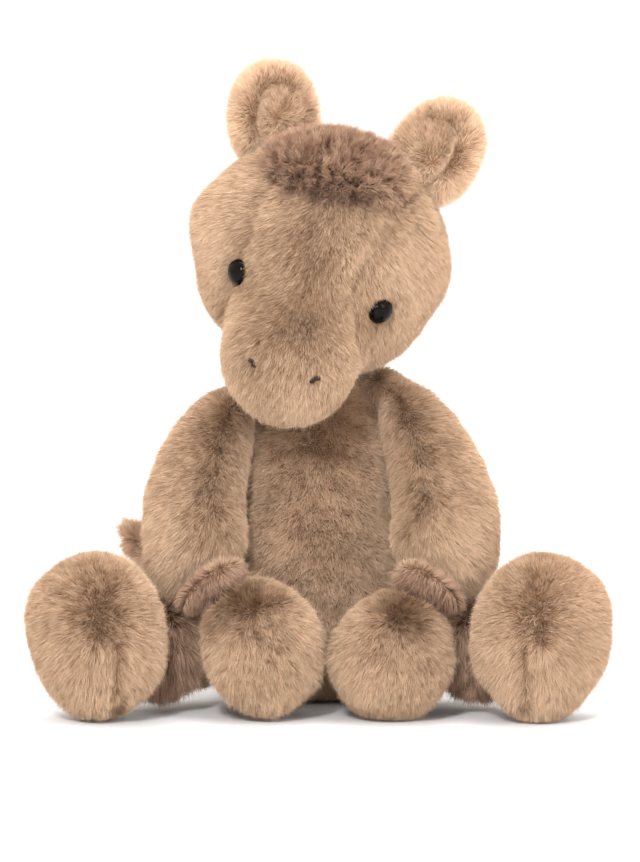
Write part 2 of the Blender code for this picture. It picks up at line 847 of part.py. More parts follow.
def ear_place(side):
    sign = SIDES[side]
    tilt = Matrix.Rotation(math.radians(sign * EAR_SPLAY_DEG), 3, "Y") @ Matrix.Rotation(
        math.radians(-EAR_LEAN_DEG), 3, "X"
    )
    return Vector((sign * EAR_SPREAD, EAR_BACK, EAR_RISE)), tilt


def cup_offset(across, width):
    """How far a cupped pad's edge stands forward of its middle."""
    return FORWARD * (EAR_CUP * (2 * across / width) ** 2)


def cupped_mesh(name, rise, height, width, thickness, offset, shares, grow=0.0):
    stations = []
    for place_share, wide, thick in shares:
        centre = UPWARD * (rise + height * place_share) + offset
        side = SIDEWAYS * (width / 2 * wide + grow)
        front = -FORWARD * (thickness / 2 * thick + grow)
        stations.append((centre, side, front))
    start = UPWARD * (rise - grow) + offset
    end = UPWARD * (rise + height + grow) + offset
    mesh = cage_mesh(name, start, stations, end, EAR_SEGMENTS)
    for vertex in mesh.vertices:
        vertex.co += cup_offset(vertex.co.x, EAR_WIDTH)
    return mesh


def bead_mesh(name, grow):
    """A spindle with its poles on the ear's hinge."""
    radius = EAR_BEAD_RADIUS + grow
    across = Matrix.Rotation(math.radians(90), 3, "Y")
    return sphere_mesh(name, (radius, radius, EAR_BEAD_LENGTH / 2 + grow), turn=across)


def make_ear(head, brow, crease, side):
    place, tilt = ear_place(side)
    frame = frame_at(f"ear_{side}_frame", brow, place, tilt)
    pad = cupped_mesh(
        "ear", -EAR_ROOT, EAR_HEIGHT, EAR_WIDTH, EAR_THICKNESS, Vector(), EAR_SHARES
    )
    ear = soften(object_of(f"ear_{side}", pad, frame))
    cut(ear, crease)
    bead = bead_mesh("ear_bead", 0.0)
    combine(ear, cutter_of(f"ear_bead_{side}", bead, frame), "UNION")
    cut(head, cutter_of(f"ear_groove_{side}", bead_mesh("ear_groove", GAP), frame))
    front = FORWARD * (EAR_THICKNESS / 2 - LINING_THICKNESS / 2 + LINING_PROUD)
    lining = cupped_mesh(
        "lining", LINING_RISE, LINING_HEIGHT, LINING_WIDTH, LINING_THICKNESS, front, EAR_SHARES
    )
    soften(object_of(f"ear_lining_{side}", lining, frame, WARM_BROWN))
    room = cupped_mesh(
        "lining_room",
        LINING_RISE,
        LINING_HEIGHT,
        LINING_WIDTH,
        LINING_THICKNESS,
        front,
        EAR_SHARES,
        GAP,
    )
    cut(ear, soften(cutter_of(f"lining_room_{side}", room, frame)))


def mirrored(shares, sizes, sign):
    out, forward, down = sizes
    return [Vector((sign * out * a, -forward * b, -down * c)) for a, b, c in shares]


def band_points(limb_end, way, length):
    """A band starts inside the limb's end, where it is cut, and runs to the seam."""
    return straight(limb_end - way * BAND_TUCK, limb_end + way * length)


def make_arm(torso, crease, side):
    sign = SIDES[side]
    shoulder = (sign * SHOULDER_SPREAD, -SHOULDER_FORWARD, SHOULDER_HEIGHT)
    frame = frame_at(f"arm_{side}_frame", BODY, shoulder)
    points = mirrored(ARM_PATH_SHARES, (ARM_OUT, ARM_FORWARD, ARM_DROP), sign)
    sizes = (ARM_WIDTH, ARM_WIDTH, ARM_SEGMENTS, FORWARD)
    arm = soften(object_of(f"arm_{side}", limb_mesh("arm", points, ARM_SHARES, *sizes), frame))
    cut(arm, crease)
    ball_joint(arm, torso, f"shoulder_{side}", frame, SHOULDER_RADIUS, SIDEWAYS)
    end, way = bezier(points, 1.0)
    band_path = band_points(end, way, WRIST_BAND_LENGTH)
    band = make_band(f"wrist_band_{side}", frame, band_path, WRIST_BAND_WIDTH, FORWARD)
    cut_by_limb(band, "arm", side, frame, points, ARM_SHARES, sizes)
    make_paw(band, frame, end + way * WRIST_BAND_LENGTH, side)


def make_band(name, frame, points, width, up):
    mesh = limb_mesh(name, points, BAND_SHARES, width, width, BAND_SEGMENTS, up)
    return soften(object_of(name, mesh, frame, BROWN))


def cut_by_limb(band, name, side, frame, points, shares, sizes):
    grown = limb_mesh(f"{name}_grown", points, shares, *sizes, 2 * GAP)
    cut(band, soften(cutter_of(f"{name}_grown_{side}", grown, frame)))


def make_paw(band, arm_frame, wrist, side):
    sign = SIDES[side]
    frame = frame_at(f"paw_{side}_frame", arm_frame, wrist)
    inward = math.radians(PAW_INWARD_DEG[side])
    forward = math.radians(PAW_FORWARD_DEG[side])
    way = Vector(
        (
            -sign * math.sin(inward),
            -math.cos(inward) * math.sin(forward),
            -math.cos(inward) * math.cos(forward),
        )
    )
    points = straight(Vector(), way * PAW_LENGTH)
    mesh = limb_mesh("paw", points, PAW_SHARES, PAW_WIDTH, PAW_WIDTH, PAW_SEGMENTS, FORWARD)
    paw = soften(object_of(f"paw_{side}", mesh, frame))
    middle = way * (PAW_LENGTH / 2)
    radii = (PAW_WIDTH / 2 * POUCH_SHARE,) * 3
    pouch_in(paw, f"paw_bean_pouch_{side}", frame, middle, radii)
    ball_joint(band, paw, f"wrist_{side}", frame, WRIST_RADIUS, SIDEWAYS)
    throat_to(paw, f"paw_{side}", frame, Vector(), middle)
    if lowest(paw) < FLAT_CUT:
        rest_flat(paw)


def make_leg(torso, side):
    sign = SIDES[side]
    hip = (sign * HIP_SPREAD, -HIP_FORWARD, HIP_HEIGHT)
    frame = frame_at(f"leg_{side}_frame", BODY, hip)
    splay = math.radians(LEG_SPLAY_DEG)
    rise = math.radians(LEG_RISE_DEG)
    level = Vector((sign * math.sin(splay), -math.cos(splay), 0))
    way = level * math.cos(rise) + UPWARD * math.sin(rise)
    end = way * (LEG_LENGTH - ANKLE_BAND_LENGTH)
    points = straight(Vector(), end)
    sizes = (LEG_WIDTH, LEG_WIDTH, LEG_SEGMENTS, UPWARD)
    leg = soften(object_of(f"leg_{side}", limb_mesh("leg", points, LEG_SHARES, *sizes), frame))
    ball_joint(leg, torso, f"hip_{side}", frame, HIP_RADIUS, UPWARD)
    band_path = band_points(end, way, ANKLE_BAND_LENGTH)
    band = make_band(f"ankle_band_{side}", frame, band_path, ANKLE_BAND_WIDTH, UPWARD)
    cut_by_limb(band, "leg", side, frame, points, LEG_SHARES, sizes)
    make_foot(band, frame, way * LEG_LENGTH, level, side)


def make_foot(band, leg_frame, ankle, level, side):
    frame = frame_at(f"foot_{side}_frame", leg_frame, ankle)
    height = frame.matrix_world.translation.z
    lift = UPWARD * (FOOT_HEIGHT / 2 - height)
    points = straight(lift, lift + level * FOOT_THICKNESS)
    mesh = limb_mesh("foot", points, FOOT_SHARES, FOOT_WIDTH, FOOT_HEIGHT, FOOT_SEGMENTS, UPWARD)
    foot = soften(object_of(f"foot_{side}", mesh, frame))
    seat_low(foot)
    middle = lift + level * (FOOT_THICKNESS / 2)
    radii = (FOOT_THICKNESS / 2 * POUCH_SHARE,) * 3
    pouch_in(foot, f"foot_bean_pouch_{side}", frame, middle, radii)
    ball_joint(band, foot, f"ankle_{side}", frame, ANKLE_RADIUS, UPWARD.cross(level))
    throat_to(foot, f"foot_{side}", frame, Vector(), middle)
    rest_flat(foot)


def make_tail(torso):
    frame = frame_at("tail_frame", BODY, (-TAIL_RIGHT, TAIL_BACK, TAIL_HEIGHT))
    points = [
        Vector((-TAIL_SWEEP * a, TAIL_BOW * b, TAIL_LIFT * c)) for a, b, c in TAIL_PATH_SHARES
    ]
    mesh = limb_mesh("tail", points, TAIL_SHARES, TAIL_WIDTH, TAIL_WIDTH, TAIL_SEGMENTS, UPWARD)
    tail = soften(object_of("tail", mesh, frame, WARM_BROWN))
    ball_joint(tail, torso, "tail", frame, TAIL_ROOT_RADIUS, UPWARD)


def main():
    torso = make_torso()
    neck_frame = make_neck(torso)
    make_head(neck_frame)
    crease = soften(cutter_of("shoulder_crease", torso_cage("crease", SHOULDER_CREASE), BODY))
    crease.location = torso.location
    for side in SIDES:
        make_arm(torso, crease, side)
        make_leg(torso, side)
    make_tail(torso)


main()
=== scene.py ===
"""A sitting plush horse: stuffed skins, cut pile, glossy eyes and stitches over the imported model."""

import json
import math

import bpy
import numpy as np
from bpy.props import FloatProperty, FloatVectorProperty, IntProperty, PointerProperty
from mathutils import Matrix, Vector
from mathutils.bvhtree import BVHTree

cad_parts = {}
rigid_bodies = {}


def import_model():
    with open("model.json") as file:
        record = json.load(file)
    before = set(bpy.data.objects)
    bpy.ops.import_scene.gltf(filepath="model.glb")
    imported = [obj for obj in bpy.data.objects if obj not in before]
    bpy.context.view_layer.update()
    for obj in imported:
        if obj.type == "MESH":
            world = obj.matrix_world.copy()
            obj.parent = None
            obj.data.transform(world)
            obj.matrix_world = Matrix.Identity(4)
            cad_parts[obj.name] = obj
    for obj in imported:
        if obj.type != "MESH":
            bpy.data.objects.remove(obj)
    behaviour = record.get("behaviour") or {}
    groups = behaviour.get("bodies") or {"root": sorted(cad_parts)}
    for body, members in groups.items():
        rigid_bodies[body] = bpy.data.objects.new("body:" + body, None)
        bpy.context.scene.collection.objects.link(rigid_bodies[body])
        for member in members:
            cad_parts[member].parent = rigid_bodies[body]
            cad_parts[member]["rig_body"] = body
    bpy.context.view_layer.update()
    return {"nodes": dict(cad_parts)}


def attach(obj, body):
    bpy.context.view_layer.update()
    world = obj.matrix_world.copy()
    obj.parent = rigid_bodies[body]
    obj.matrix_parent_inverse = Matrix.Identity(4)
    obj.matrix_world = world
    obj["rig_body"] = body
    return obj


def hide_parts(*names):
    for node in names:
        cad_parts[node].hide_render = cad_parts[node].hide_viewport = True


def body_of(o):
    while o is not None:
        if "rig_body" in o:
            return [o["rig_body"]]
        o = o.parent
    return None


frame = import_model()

bl_info = {
    "name": "Plush Horse",
    "version": (1, 0, 0),
    "blender": (4, 5, 0),
    "location": "3D View > Sidebar > Plush Horse",
    "description": "Dresses the packed plush horse with skins, pile, eyes and stitches",
    "category": "Object",
}

MAP_NAME = "OFBake"

# The stuffed pieces, each with the fullness of its stuffing.
STUFFED = {
    "torso": 0.75,
    "neck": 0.6,
    "head": 0.85,
    "forelock": 0.6,
    "mane": 0.6,
    "ear_left": 0.4,
    "ear_right": 0.4,
    "ear_lining_left": 0.2,
    "ear_lining_right": 0.2,
    "arm_left": 0.65,
    "arm_right": 0.65,
    "wrist_band_left": 0.6,
    "wrist_band_right": 0.6,
    "paw_left": 0.7,
    "paw_right": 0.7,
    "leg_left": 0.65,
    "leg_right": 0.65,
    "ankle_band_left": 0.6,
    "ankle_band_right": 0.6,
    "foot_left": 0.8,
    "foot_right": 0.8,
    "tail": 0.5,
}
SIDES = ("left", "right")
OUTWARD = {"left": 1, "right": -1}

# The face's own frame: across, back along the muzzle, and up from the bridge of the nose.
FACE_PLACE = (0.003, -0.012, 0.186)
FACE_AXES = ((0.96295, -0.07846, -0.25802), (0.24097, 0.6799, 0.69258), (0.12109, -0.7291, 0.67361))
# Each ear's own frame: across, back and up the ear.
EAR_PLACES = {"left": (0.04235, -0.00741, 0.21324), "right": (-0.01639, -0.00263, 0.22898)}
EAR_AXES = {
    "left": ((0.8452, -0.075, -0.5292), (0.0387, 0.9961, -0.0794), (0.533, 0.0467, 0.8448)),
    "right": ((0.9965, -0.075, 0.0357), (0.078, 0.9929, -0.09), (-0.0287, 0.0924, 0.9953)),
}

# The photograph's size, scale and tilt, for lines that are placed by where they show in it.
PICTURE = (640, 862)
PIXEL = 0.00041
MIDDLE_PIXEL = 319
FLOOR_PIXEL = 715
FLOOR_DROP = 0.0075
TILT = math.radians(6.0)

# Seams as they show in the photograph: from the forelock's corners down past the eyes' inner ends
# and along the muzzle to the jaw, and down the soles.
FACE_SEAMS = (
    [(388, 222), (380, 236), (366, 260), (355, 288), (357, 318), (359, 340), (360, 357)],
    [(268, 192), (258, 215), (249, 243), (242, 262), (233, 288), (228, 304), (225, 320)],
)
SOLE_SEAMS = {
    "left": [(519, 645), (520, 665), (521, 684), (522, 700)],
    "right": [(124, 640), (123, 662), (122, 684), (121, 700)],
}
# Heights in millimetres that the seam down the back passes through.
BACK_SEAM = range(14, 122, 9)

# The head: how far it is filled out or drawn in from its solid.
BROW_FILL = 0.0032
CHEEK_FILL = 0.0012
RIGHT_CHEEK_FILL = 0.0026
JAW_TUCK = 0.0016
TEMPLE = (-0.0485, 0, 0.2025)
TEMPLE_REACH = 0.013
TEMPLE_FILL = 0.0022
SEAM_TUCK = 0.003
SEAM_TUCK_REACH = 0.0075
FORELOCK_MOVE = (0, -0.005, 0.0003)

# The eyes: the dome, the shank through the cloth, and the bare rings of cloth round them.
EYE_DOME = 0.0036
EYE_BRIM = 0.0008
EYE_ARC_STEPS = 16
SHANK_RADIUS = 0.0021
SHANK_LENGTH = 0.0125
EYE_RING_DEPTH = 0.003
EYE_RING_SHIFT = 0.0007
EYE_RING_GAP = 0.0001
EYE_TRIM_SHIFT = 0.003
EYE_TRIM_REACH = 0.0105
TRIM_LEAST = 0.6

# The nostrils: five satin stitches each.
STITCH_ROWS = range(-2, 3)
STITCH_REACH = 0.0023
STITCH_RISE = 0.0011
STITCH_SINK = 0.0004
STITCH_APART = 0.0005
STITCH_RADIUS = 0.00031
NOSTRIL_BARE = 0.0013
NOSTRIL_TRIM_REACH = 0.004

# The ears: a padded wall and lining, egg-shaped, and in millimetres the rim that is folded forward
# on the outer side, all in the ear's own frame.
EAR_WALL = (0.0150, 0.0038, 0.0205)
EAR_MIDDLES = {"left": (-0.0032, -0.0002, 0.0095), "right": (0, -0.0002, 0.0075)}
LINING_WALL = (0.0125, 0.0026, 0.0165)
LINING_MIDDLES = {"left": (-0.0045, -0.0026, 0.0105), "right": (0.0016, -0.0026, 0.0085)}
RIM_LINE = (
    (8.6, -1.0, -6.8), (11.2, -3.4, -0.5), (12.4, -5.4, 7), (11.6, -5.6, 15), (8.4, -4.6, 22.2),
    (2.5, -3.0, 25.6), (-3.8, -1.6, 24.6), (-8.5, -0.8, 20.0), (-11.0, -0.2, 13),
)
RIM_SIZE = 1.03
RIM_SHIFTS = {"left": (-3.0, 0, 2.4), "right": (0, 0, 0)}
RIM_STEPS = 44
RIM_SHARES = (0, 0.14, 0.4, 0.8, 1)
RIM_RADII = (0.003, 0.0048, 0.005, 0.0038, 0.0028)
# The crease under the rim runs beside this stretch of it.
CREASE_START, CREASE_END = 2, 32
CREASE_SHIFT = (-0.0046, -0.002, -0.0004)
CREASE_DROP = 0.0042

# The arms: how the shoulders slope up under the cheeks, how much fuller each arm is than its solid,
# and the middle and reach of the brown cloth and painted shade at the wrists.
SHOULDER_MOVES = {"left": (-0.0105, -0.001, 0.008), "right": (0.0055, -0.001, 0.003)}
ARM_FILLS = {"left": 0.0028, "right": 0.001}
ELBOW_FILL = 0.003
INNER_TUCK = 0.004
WRIST_OUT = 0.039
WRIST_RISE = 0.046
WRIST_REACH = 0.0105

# The feet: how far the outer side moves out at each height, and how far the top rises and the
# lower edge is rounded off.
FOOT_HEIGHTS = (0.011, 0.031, 0.052, 0.06)
FOOT_FILLS = (-0.0024, -0.0016, 0.0016, 0.001)
FOOT_RISE = 0.0022
FOOT_ROUNDING = 0.0075

# The tone of each kind of pile, from 0 for the darkest strands to 1 for the palest.
TORSO_TONE = 0.56
FACE_TONE = 0.31
EAR_TONE = 0.86
LINING_TONE = 0.8
# The forelock's and mane's tone at their lower edge, kept dark there as painted shade.
CROWN_TONE = 0.05
ARM_TONE = 0.35
PAW_TONE = 0.34
# Painted shade by the wrists, in the crease between arm and paw: on the arms and paws, and over the
# brown of the bands.
WRIST_SHADE = 0.28
BAND_TONE = 0.78
BAND_SHADE = 0.6
LEG_TONE = 0.44
FOOT_TONE = 0.33
TAIL_TONE = 0.88

# How all pile grows: seams part, trim and shade it, and some strands are longer than the rest.
SEAM_REACH = 0.0042
SEAM_PARTING = 0.8
SEAM_TRIM = 0.4
SEAM_SHADE = 0.24
LENGTH_SPREAD = 0.11
LONG_SHARE = 0.1
LONG_LENGTH = 1.3
LEAST_RISE = 0.35
LEAST_LENGTH = 0.0018
FLOOR_GAP = 0.0004

# The stage: the floor's rings, and each light's place, width, height and share of the key's power.
FLOOR_RINGS = (0.3, 0.8, 2.0, 5.0, 12.0, 30.0)
FLOOR_STEPS = 48
LIGHTS = {
    "key_light": ((-0.35, -1.7, 1.1), 0.16, 0.5, 1.0),
    "fill_light": ((1.3, -1.2, 0.7), 0.8, 0.8, 0.35),
    "top_light": ((0.1, 0.2, 1.9), 1.2, 1.2, 0.6),
}
LIT_POINT = (0, 0, 0.12)
SENSOR = 36


# ---------------------------------------------------------------- small helpers


def points_of(mesh):
    """The mesh's vertices as an array."""
    found = np.zeros(len(mesh.vertices) * 3)
    mesh.vertices.foreach_get("co", found)
    return found.reshape(-1, 3)


def normals_of(mesh):
    """The surface's direction at each vertex."""
    found = np.zeros(len(mesh.vertices) * 3)
    mesh.vertices.foreach_get("normal", found)
    return found.reshape(-1, 3)


def middle_of(node):
    """The middle of a CAD node's points."""
    return points_of(frame["nodes"][node].data).mean(0)


def placed(name, data):
    """A new object in the scene."""
    obj = bpy.data.objects.new(name, data)
    bpy.context.scene.collection.objects.link(obj)
    return obj


def eased(values, start, reach):
    """0 up to the start and 1 from one reach further on; a reach below 0 runs the other way."""
    return np.clip((values - start) / reach, 0, 1)


def hump(values, middle, reach):
    """1 at the middle, falling away smoothly to either side."""
    return np.exp(-(((values - middle) / reach) ** 2))


def unit(vectors):
    """Each vector at length one."""
    return vectors / np.maximum(np.linalg.norm(vectors, axis=-1, keepdims=True), 1e-12)


def sway(points, size, seed, waves=24):
    """A smooth random vector at each point, which changes over about that size."""
    rng = np.random.default_rng(seed)
    total = np.zeros((len(points), 3))
    for _ in range(waves):
        heading = unit(rng.normal(size=3)) * 2 * math.pi / (size * rng.uniform(0.7, 1.8))
        wave = np.sin(points @ heading + rng.uniform(0, 2 * math.pi))
        total += wave[:, None] * rng.normal(size=3)
    return total / math.sqrt(waves / 2)


def into(points, place, axes):
    """Points as they stand in a frame of their own."""
    return (points - np.array(place)) @ np.array(axes).T


def out_of(points, place, axes):
    """Points of a frame of their own, back in the model's frame."""
    return points @ np.array(axes) + np.array(place)


def body_under(node):
    """The body that a CAD node rides on."""
    return body_of(frame["nodes"][node])[0]


def on_surface(tree, x, y):
    """The point where a pixel of the photograph meets a surface."""
    ahead = Vector((0, math.cos(TILT), -math.sin(TILT)))
    high = (FLOOR_PIXEL - y) * PIXEL - FLOOR_DROP
    start = Vector(((x - MIDDLE_PIXEL) * PIXEL, 0, high / math.cos(TILT))) - ahead * 0.4
    place = tree.ray_cast(start, ahead)[0]
    if place is None:
        raise RuntimeError(f"the photograph's point {x}, {y} misses the surface")
    return place


def tree_of(*objects):
    """A search tree of the objects' faces."""
    verts, faces = [], []
    for obj in objects:
        start = len(verts)
        verts += [tuple(v.co) for v in obj.data.vertices]
        faces += [tuple(start + i for i in p.vertices) for p in obj.data.polygons]
    return BVHTree.FromPolygons(verts, faces)


def tree_around(nodes, also=()):
    """A search tree of every outer CAD node but these, and of these skins."""
    outer = [*STUFFED, "eye_left", "eye_right"]
    around = [frame["nodes"][name] for name in outer if name not in nodes]
    return tree_of(*around, *(bpy.data.objects[name] for name in also))


# ---------------------------------------------------------------- finishes


FINISHES = {}

# Plain finishes: dark and light colour, the mottling's scale, roughness, bump depth and gloss.
SPECKLED = {
    "eye_black": ((0.002, 0.0015, 0.0015), (0.005, 0.003, 0.0025), 500, 0.05, 0, 0.09),
    "washer_white": ((0.7, 0.68, 0.64), (0.8, 0.78, 0.74), 900, 0.45, 0.0001, 0.5),
    "nose_thread": ((0.012, 0.008, 0.006), (0.035, 0.022, 0.016), 3000, 0.7, 0.0002, 0.2),
    "linen": ((0.45, 0.4, 0.33), (0.6, 0.55, 0.47), 2500, 0.9, 0.0002, 0.5),
    "pale_paper": ((0.88, 0.88, 0.885), (0.91, 0.91, 0.91), 60, 0.9, 0, 0.5),
}


def dyed(colour, share):
    """A colour made lighter or darker, by one share or by one for each channel."""
    return tuple(np.minimum(np.array(colour) * share, 1.0))


def new_material(name):
    """A fresh material with its node tree, and its surface shader."""
    material = bpy.data.materials.new(f"plush_{name}")
    material.use_nodes = True
    return material, material.node_tree, material.node_tree.nodes["Principled BSDF"]


def ramp_node(tree, stops):
    """A colour ramp through (place, colour) stops."""
    ramp = tree.nodes.new("ShaderNodeValToRGB")
    ramp.color_ramp.interpolation = "EASE"
    while len(ramp.color_ramp.elements) < len(stops):
        ramp.color_ramp.elements.new(0.5)
    for element, (place, colour) in zip(ramp.color_ramp.elements, stops):
        element.position = place
        element.color = (*colour, 1)
    return ramp


def noise_node(tree, scale, detail=2):
    """Fine noise over the object."""
    place = tree.nodes.new("ShaderNodeTexCoord")
    noise = tree.nodes.new("ShaderNodeTexNoise")
    noise.inputs["Scale"].default_value = scale
    noise.inputs["Detail"].default_value = detail
    tree.links.new(place.outputs["Object"], noise.inputs["Vector"])
    return noise


def raise_bumps(tree, shader, noise, strength, depth):
    """Gives the shader bumps that follow the noise."""
    bump = tree.nodes.new("ShaderNodeBump")
    bump.inputs["Strength"].default_value = strength
    bump.inputs["Distance"].default_value = depth
    tree.links.new(noise.outputs["Fac"], bump.inputs["Height"])
    tree.links.new(bump.outputs[0], shader.inputs["Normal"])


def pile_finish(name, roots, tips):
    """Pile whose colour runs from dark roots, partly its own colour and partly painted shade deep in
    the pile, to pale tips, and differs from strand to strand.
    """
    material, tree, shader = new_material(name)
    uv = tree.nodes.new("ShaderNodeUVMap")
    uv.uv_map = MAP_NAME
    split = tree.nodes.new("ShaderNodeSeparateXYZ")
    tree.links.new(uv.outputs[0], split.inputs[0])
    low, high = ramp_node(tree, roots), ramp_node(tree, tips)
    tree.links.new(split.outputs["X"], low.inputs[0])
    tree.links.new(split.outputs["X"], high.inputs[0])
    along = tree.nodes.new("ShaderNodeMapRange")
    along.interpolation_type = "SMOOTHSTEP"
    along.inputs["From Min"].default_value = 0.0
    along.inputs["From Max"].default_value = 0.64
    tree.links.new(split.outputs["Y"], along.inputs["Value"])
    mix = tree.nodes.new("ShaderNodeMix")
    mix.data_type = "RGBA"
    tree.links.new(along.outputs[0], mix.inputs[0])
    tree.links.new(low.outputs[0], mix.inputs[6])
    tree.links.new(high.outputs[0], mix.inputs[7])
    tree.links.new(mix.outputs[2], shader.inputs["Base Color"])
    shader.inputs["Roughness"].default_value = 0.8
    shader.inputs["Specular IOR Level"].default_value = 0.25
    return material


def backing_finish(name, dark, light):
    """The knitted cloth that the pile grows from, seen only between the strands; its darkness is
    partly the cloth's own colour and partly painted shade deep in the pile.
    """
    material, tree, shader = new_material(name)
    ramp = ramp_node(tree, [(0.32, dark), (0.7, light)])
    tree.links.new(noise_node(tree, 260, 5).outputs["Fac"], ramp.inputs[0])
    tree.links.new(ramp.outputs[0], shader.inputs["Base Color"])
    raise_bumps(tree, shader, noise_node(tree, 1500), 0.6, 0.0006)
    shader.inputs["Roughness"].default_value = 0.95
    return material


def speckled_finish(name, dark, light, scale, roughness, depth, level):
    """A plain finish with fine mottling, and a bump where depth is given."""
    material, tree, shader = new_material(name)
    noise = noise_node(tree, scale, 4)
    ramp = ramp_node(tree, [(0.35, dark), (0.65, light)])
    tree.links.new(noise.outputs["Fac"], ramp.inputs[0])
    tree.links.new(ramp.outputs[0], shader.inputs["Base Color"])
    shader.inputs["Roughness"].default_value = roughness
    shader.inputs["Specular IOR Level"].default_value = level
    if depth:
        raise_bumps(tree, shader, noise, 0.4, depth)
    return material


def finish(kind):
    """The named finish, made the first time that it is asked for."""
    if kind not in FINISHES:
        FINISHES[kind] = make_finish(kind)
    return FINISHES[kind]


def make_finish(kind):
    """Mixes a finish from the dyes, whose root colours hold painted shade as well."""
    dye = bpy.context.scene.plush_dyes
    tan, tan_root = tuple(dye.tan_tip), tuple(dye.tan_root)
    brown, brown_root = tuple(dye.brown_tip), tuple(dye.brown_root)
    # Roots darker than tips: partly the pile's own colour and partly painted shade deep in the pile.
    if kind == "tan_pile":
        return pile_finish(
            kind,
            [(0.0, dyed(tan_root, (0.6, 0.53, 0.48))), (0.5, tan_root), (1.0, dyed(tan_root, 1.3))],
            [(0.0, dyed(tan, (0.55, 0.48, 0.42))), (0.5, tan), (1.0, dyed(tan, (1.22, 1.27, 1.32)))],
        )
    if kind == "brown_pile":
        return pile_finish(
            kind,
            [(0.0, dyed(brown_root, 0.5)), (0.5, brown_root), (1.0, dyed(tan_root, 0.9))],
            [(0.0, dyed(brown, 0.35)), (0.5, brown), (1.0, dyed(tan, 0.95))],
        )
    if kind == "tan_backing":
        return backing_finish(kind, dyed(tan_root, 0.55), dyed(tan_root, 0.95))
    if kind == "brown_backing":
        return backing_finish(kind, dyed(brown_root, 0.5), dyed(brown_root, 0.9))
    return speckled_finish(kind, *SPECKLED[kind])


# ---------------------------------------------------------------- skins


def remeshed(mesh, voxel=0.0016, rounds=8):
    """An even, smoothed copy of a closed mesh."""
    work = placed("work", mesh)
    remesh = work.modifiers.new("remesh", "REMESH")
    remesh.mode = "VOXEL"
    remesh.voxel_size = voxel
    smooth = work.modifiers.new("smooth", "SMOOTH")
    smooth.factor = 0.5
    smooth.iterations = rounds
    bpy.context.view_layer.update()
    ready = work.evaluated_get(bpy.context.evaluated_depsgraph_get())
    result = bpy.data.meshes.new_from_object(ready)
    bpy.data.objects.remove(work)
    return result


def put_points(mesh, points):
    """Moves the mesh's vertices to these points."""
    mesh.vertices.foreach_set("co", points.ravel())
    mesh.update()


def dress(node, mesh, backing):
    """Shows a mesh as the closed skin of a stuffed CAD node."""
    mesh.polygons.foreach_set("use_smooth", [True] * len(mesh.polygons))
    mesh.materials.clear()
    mesh.materials.append(finish(backing))
    mesh.name = f"{node}_skin"
    skin = placed(mesh.name, mesh)
    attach(skin, body_under(node))
    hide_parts(node)
    return skin


def skin_over(node, backing, tuck, rounds=8, sculpt=None):
    """A smooth closed skin in a stuffed CAD node's form, tucked in by part of the pile's depth."""
    mesh = remeshed(frame["nodes"][node].data.copy(), rounds=rounds)
    if sculpt:
        put_points(mesh, sculpt(points_of(mesh), normals_of(mesh)))
    put_points(mesh, points_of(mesh) - normals_of(mesh) * tuck)
    return dress(node, mesh, backing)


def closed_faces(rows, steps):
    """Faces that join rows of points, each row to the next, and close both ends."""
    faces = []
    for row in range(rows - 1):
        for k in range(steps):
            n = (k + 1) % steps
            low, high = row * steps, (row + 1) * steps
            faces.append((low + k, low + n, high + n, high + k))
    faces.append(tuple(reversed(range(steps))))
    faces.append(tuple((rows - 1) * steps + k for k in range(steps)))
    return faces


def circle(radius, height, steps):
    """Points round a level circle."""
    turns = [2 * math.pi * k / steps for k in range(steps)]
    return [(radius * math.cos(a), radius * math.sin(a), height) for a in turns]


def tube(path, radii, sides=12):
    """Vertices and faces of a round tube along a path, closed at both ends."""
    path = np.array(path, float)
    verts = []
    ahead = unit(np.gradient(path, axis=0))
    side = unit(np.cross(ahead[0], (0.3, 0.9, 0.2)))
    for k, (place, way) in enumerate(zip(path, ahead)):
        side = unit(side - way * (side @ way))
        other = np.cross(way, side)
        for j in range(sides):
            a = 2 * math.pi * j / sides
            verts.append(place + (side * math.cos(a) + other * math.sin(a)) * radii[k])
    return verts, closed_faces(len(path), sides)


def smooth_path(points, count):
    """An even smooth curve through the points."""
    points = np.array(points, float)
    at = np.linspace(0, len(points) - 1, count)
    k = np.clip(at.astype(int), 0, len(points) - 2)
    t = (at - k)[:, None]
    before, after = points[np.maximum(k - 1, 0)], points[np.minimum(k + 2, len(points) - 1)]
    a, b = points[k], points[k + 1]
    bend = (2 * before - 5 * a + 4 * b - after) * t**2
    twist = (3 * a - before - 3 * b + after) * t**3
    return 0.5 * (2 * a + (b - before) * t + bend + twist)


def ball(radii, place, sides=24, rings=12):
    """Vertices and faces of an egg-shaped ball."""
    verts, faces = [(place[0], place[1], place[2] - radii[2])], []
    for k in range(1, rings):
        b = math.pi * k / rings - math.pi / 2
        for j in range(sides):
            a = 2 * math.pi * j / sides
            ways = (math.cos(b) * math.cos(a), math.cos(b) * math.sin(a), math.sin(b))
            verts.append(tuple(p + r * way for p, r, way in zip(place, radii, ways)))
    verts.append((place[0], place[1], place[2] + radii[2]))
    last = len(verts) - 1
    for j in range(sides):
        n = (j + 1) % sides
        faces.append((0, 1 + n, 1 + j))
        faces.append((last, last - sides + j, last - sides + n))
        for k in range(rings - 2):
            row = 1 + k * sides
            faces.append((row + j, row + n, row + sides + n, row + sides + j))
    return verts, faces


def mesh_of(name, *parts):
    """One mesh of several (vertices, faces) parts."""
    verts, faces = [], []
    for points, polygons in parts:
        faces += [tuple(len(verts) + i for i in p) for p in polygons]
        verts += [tuple(p) for p in points]
    mesh = bpy.data.meshes.new(name)
    mesh.from_pydata(verts, [], faces)
    mesh.update()
    return mesh


# ---------------------------------------------------------------- pile


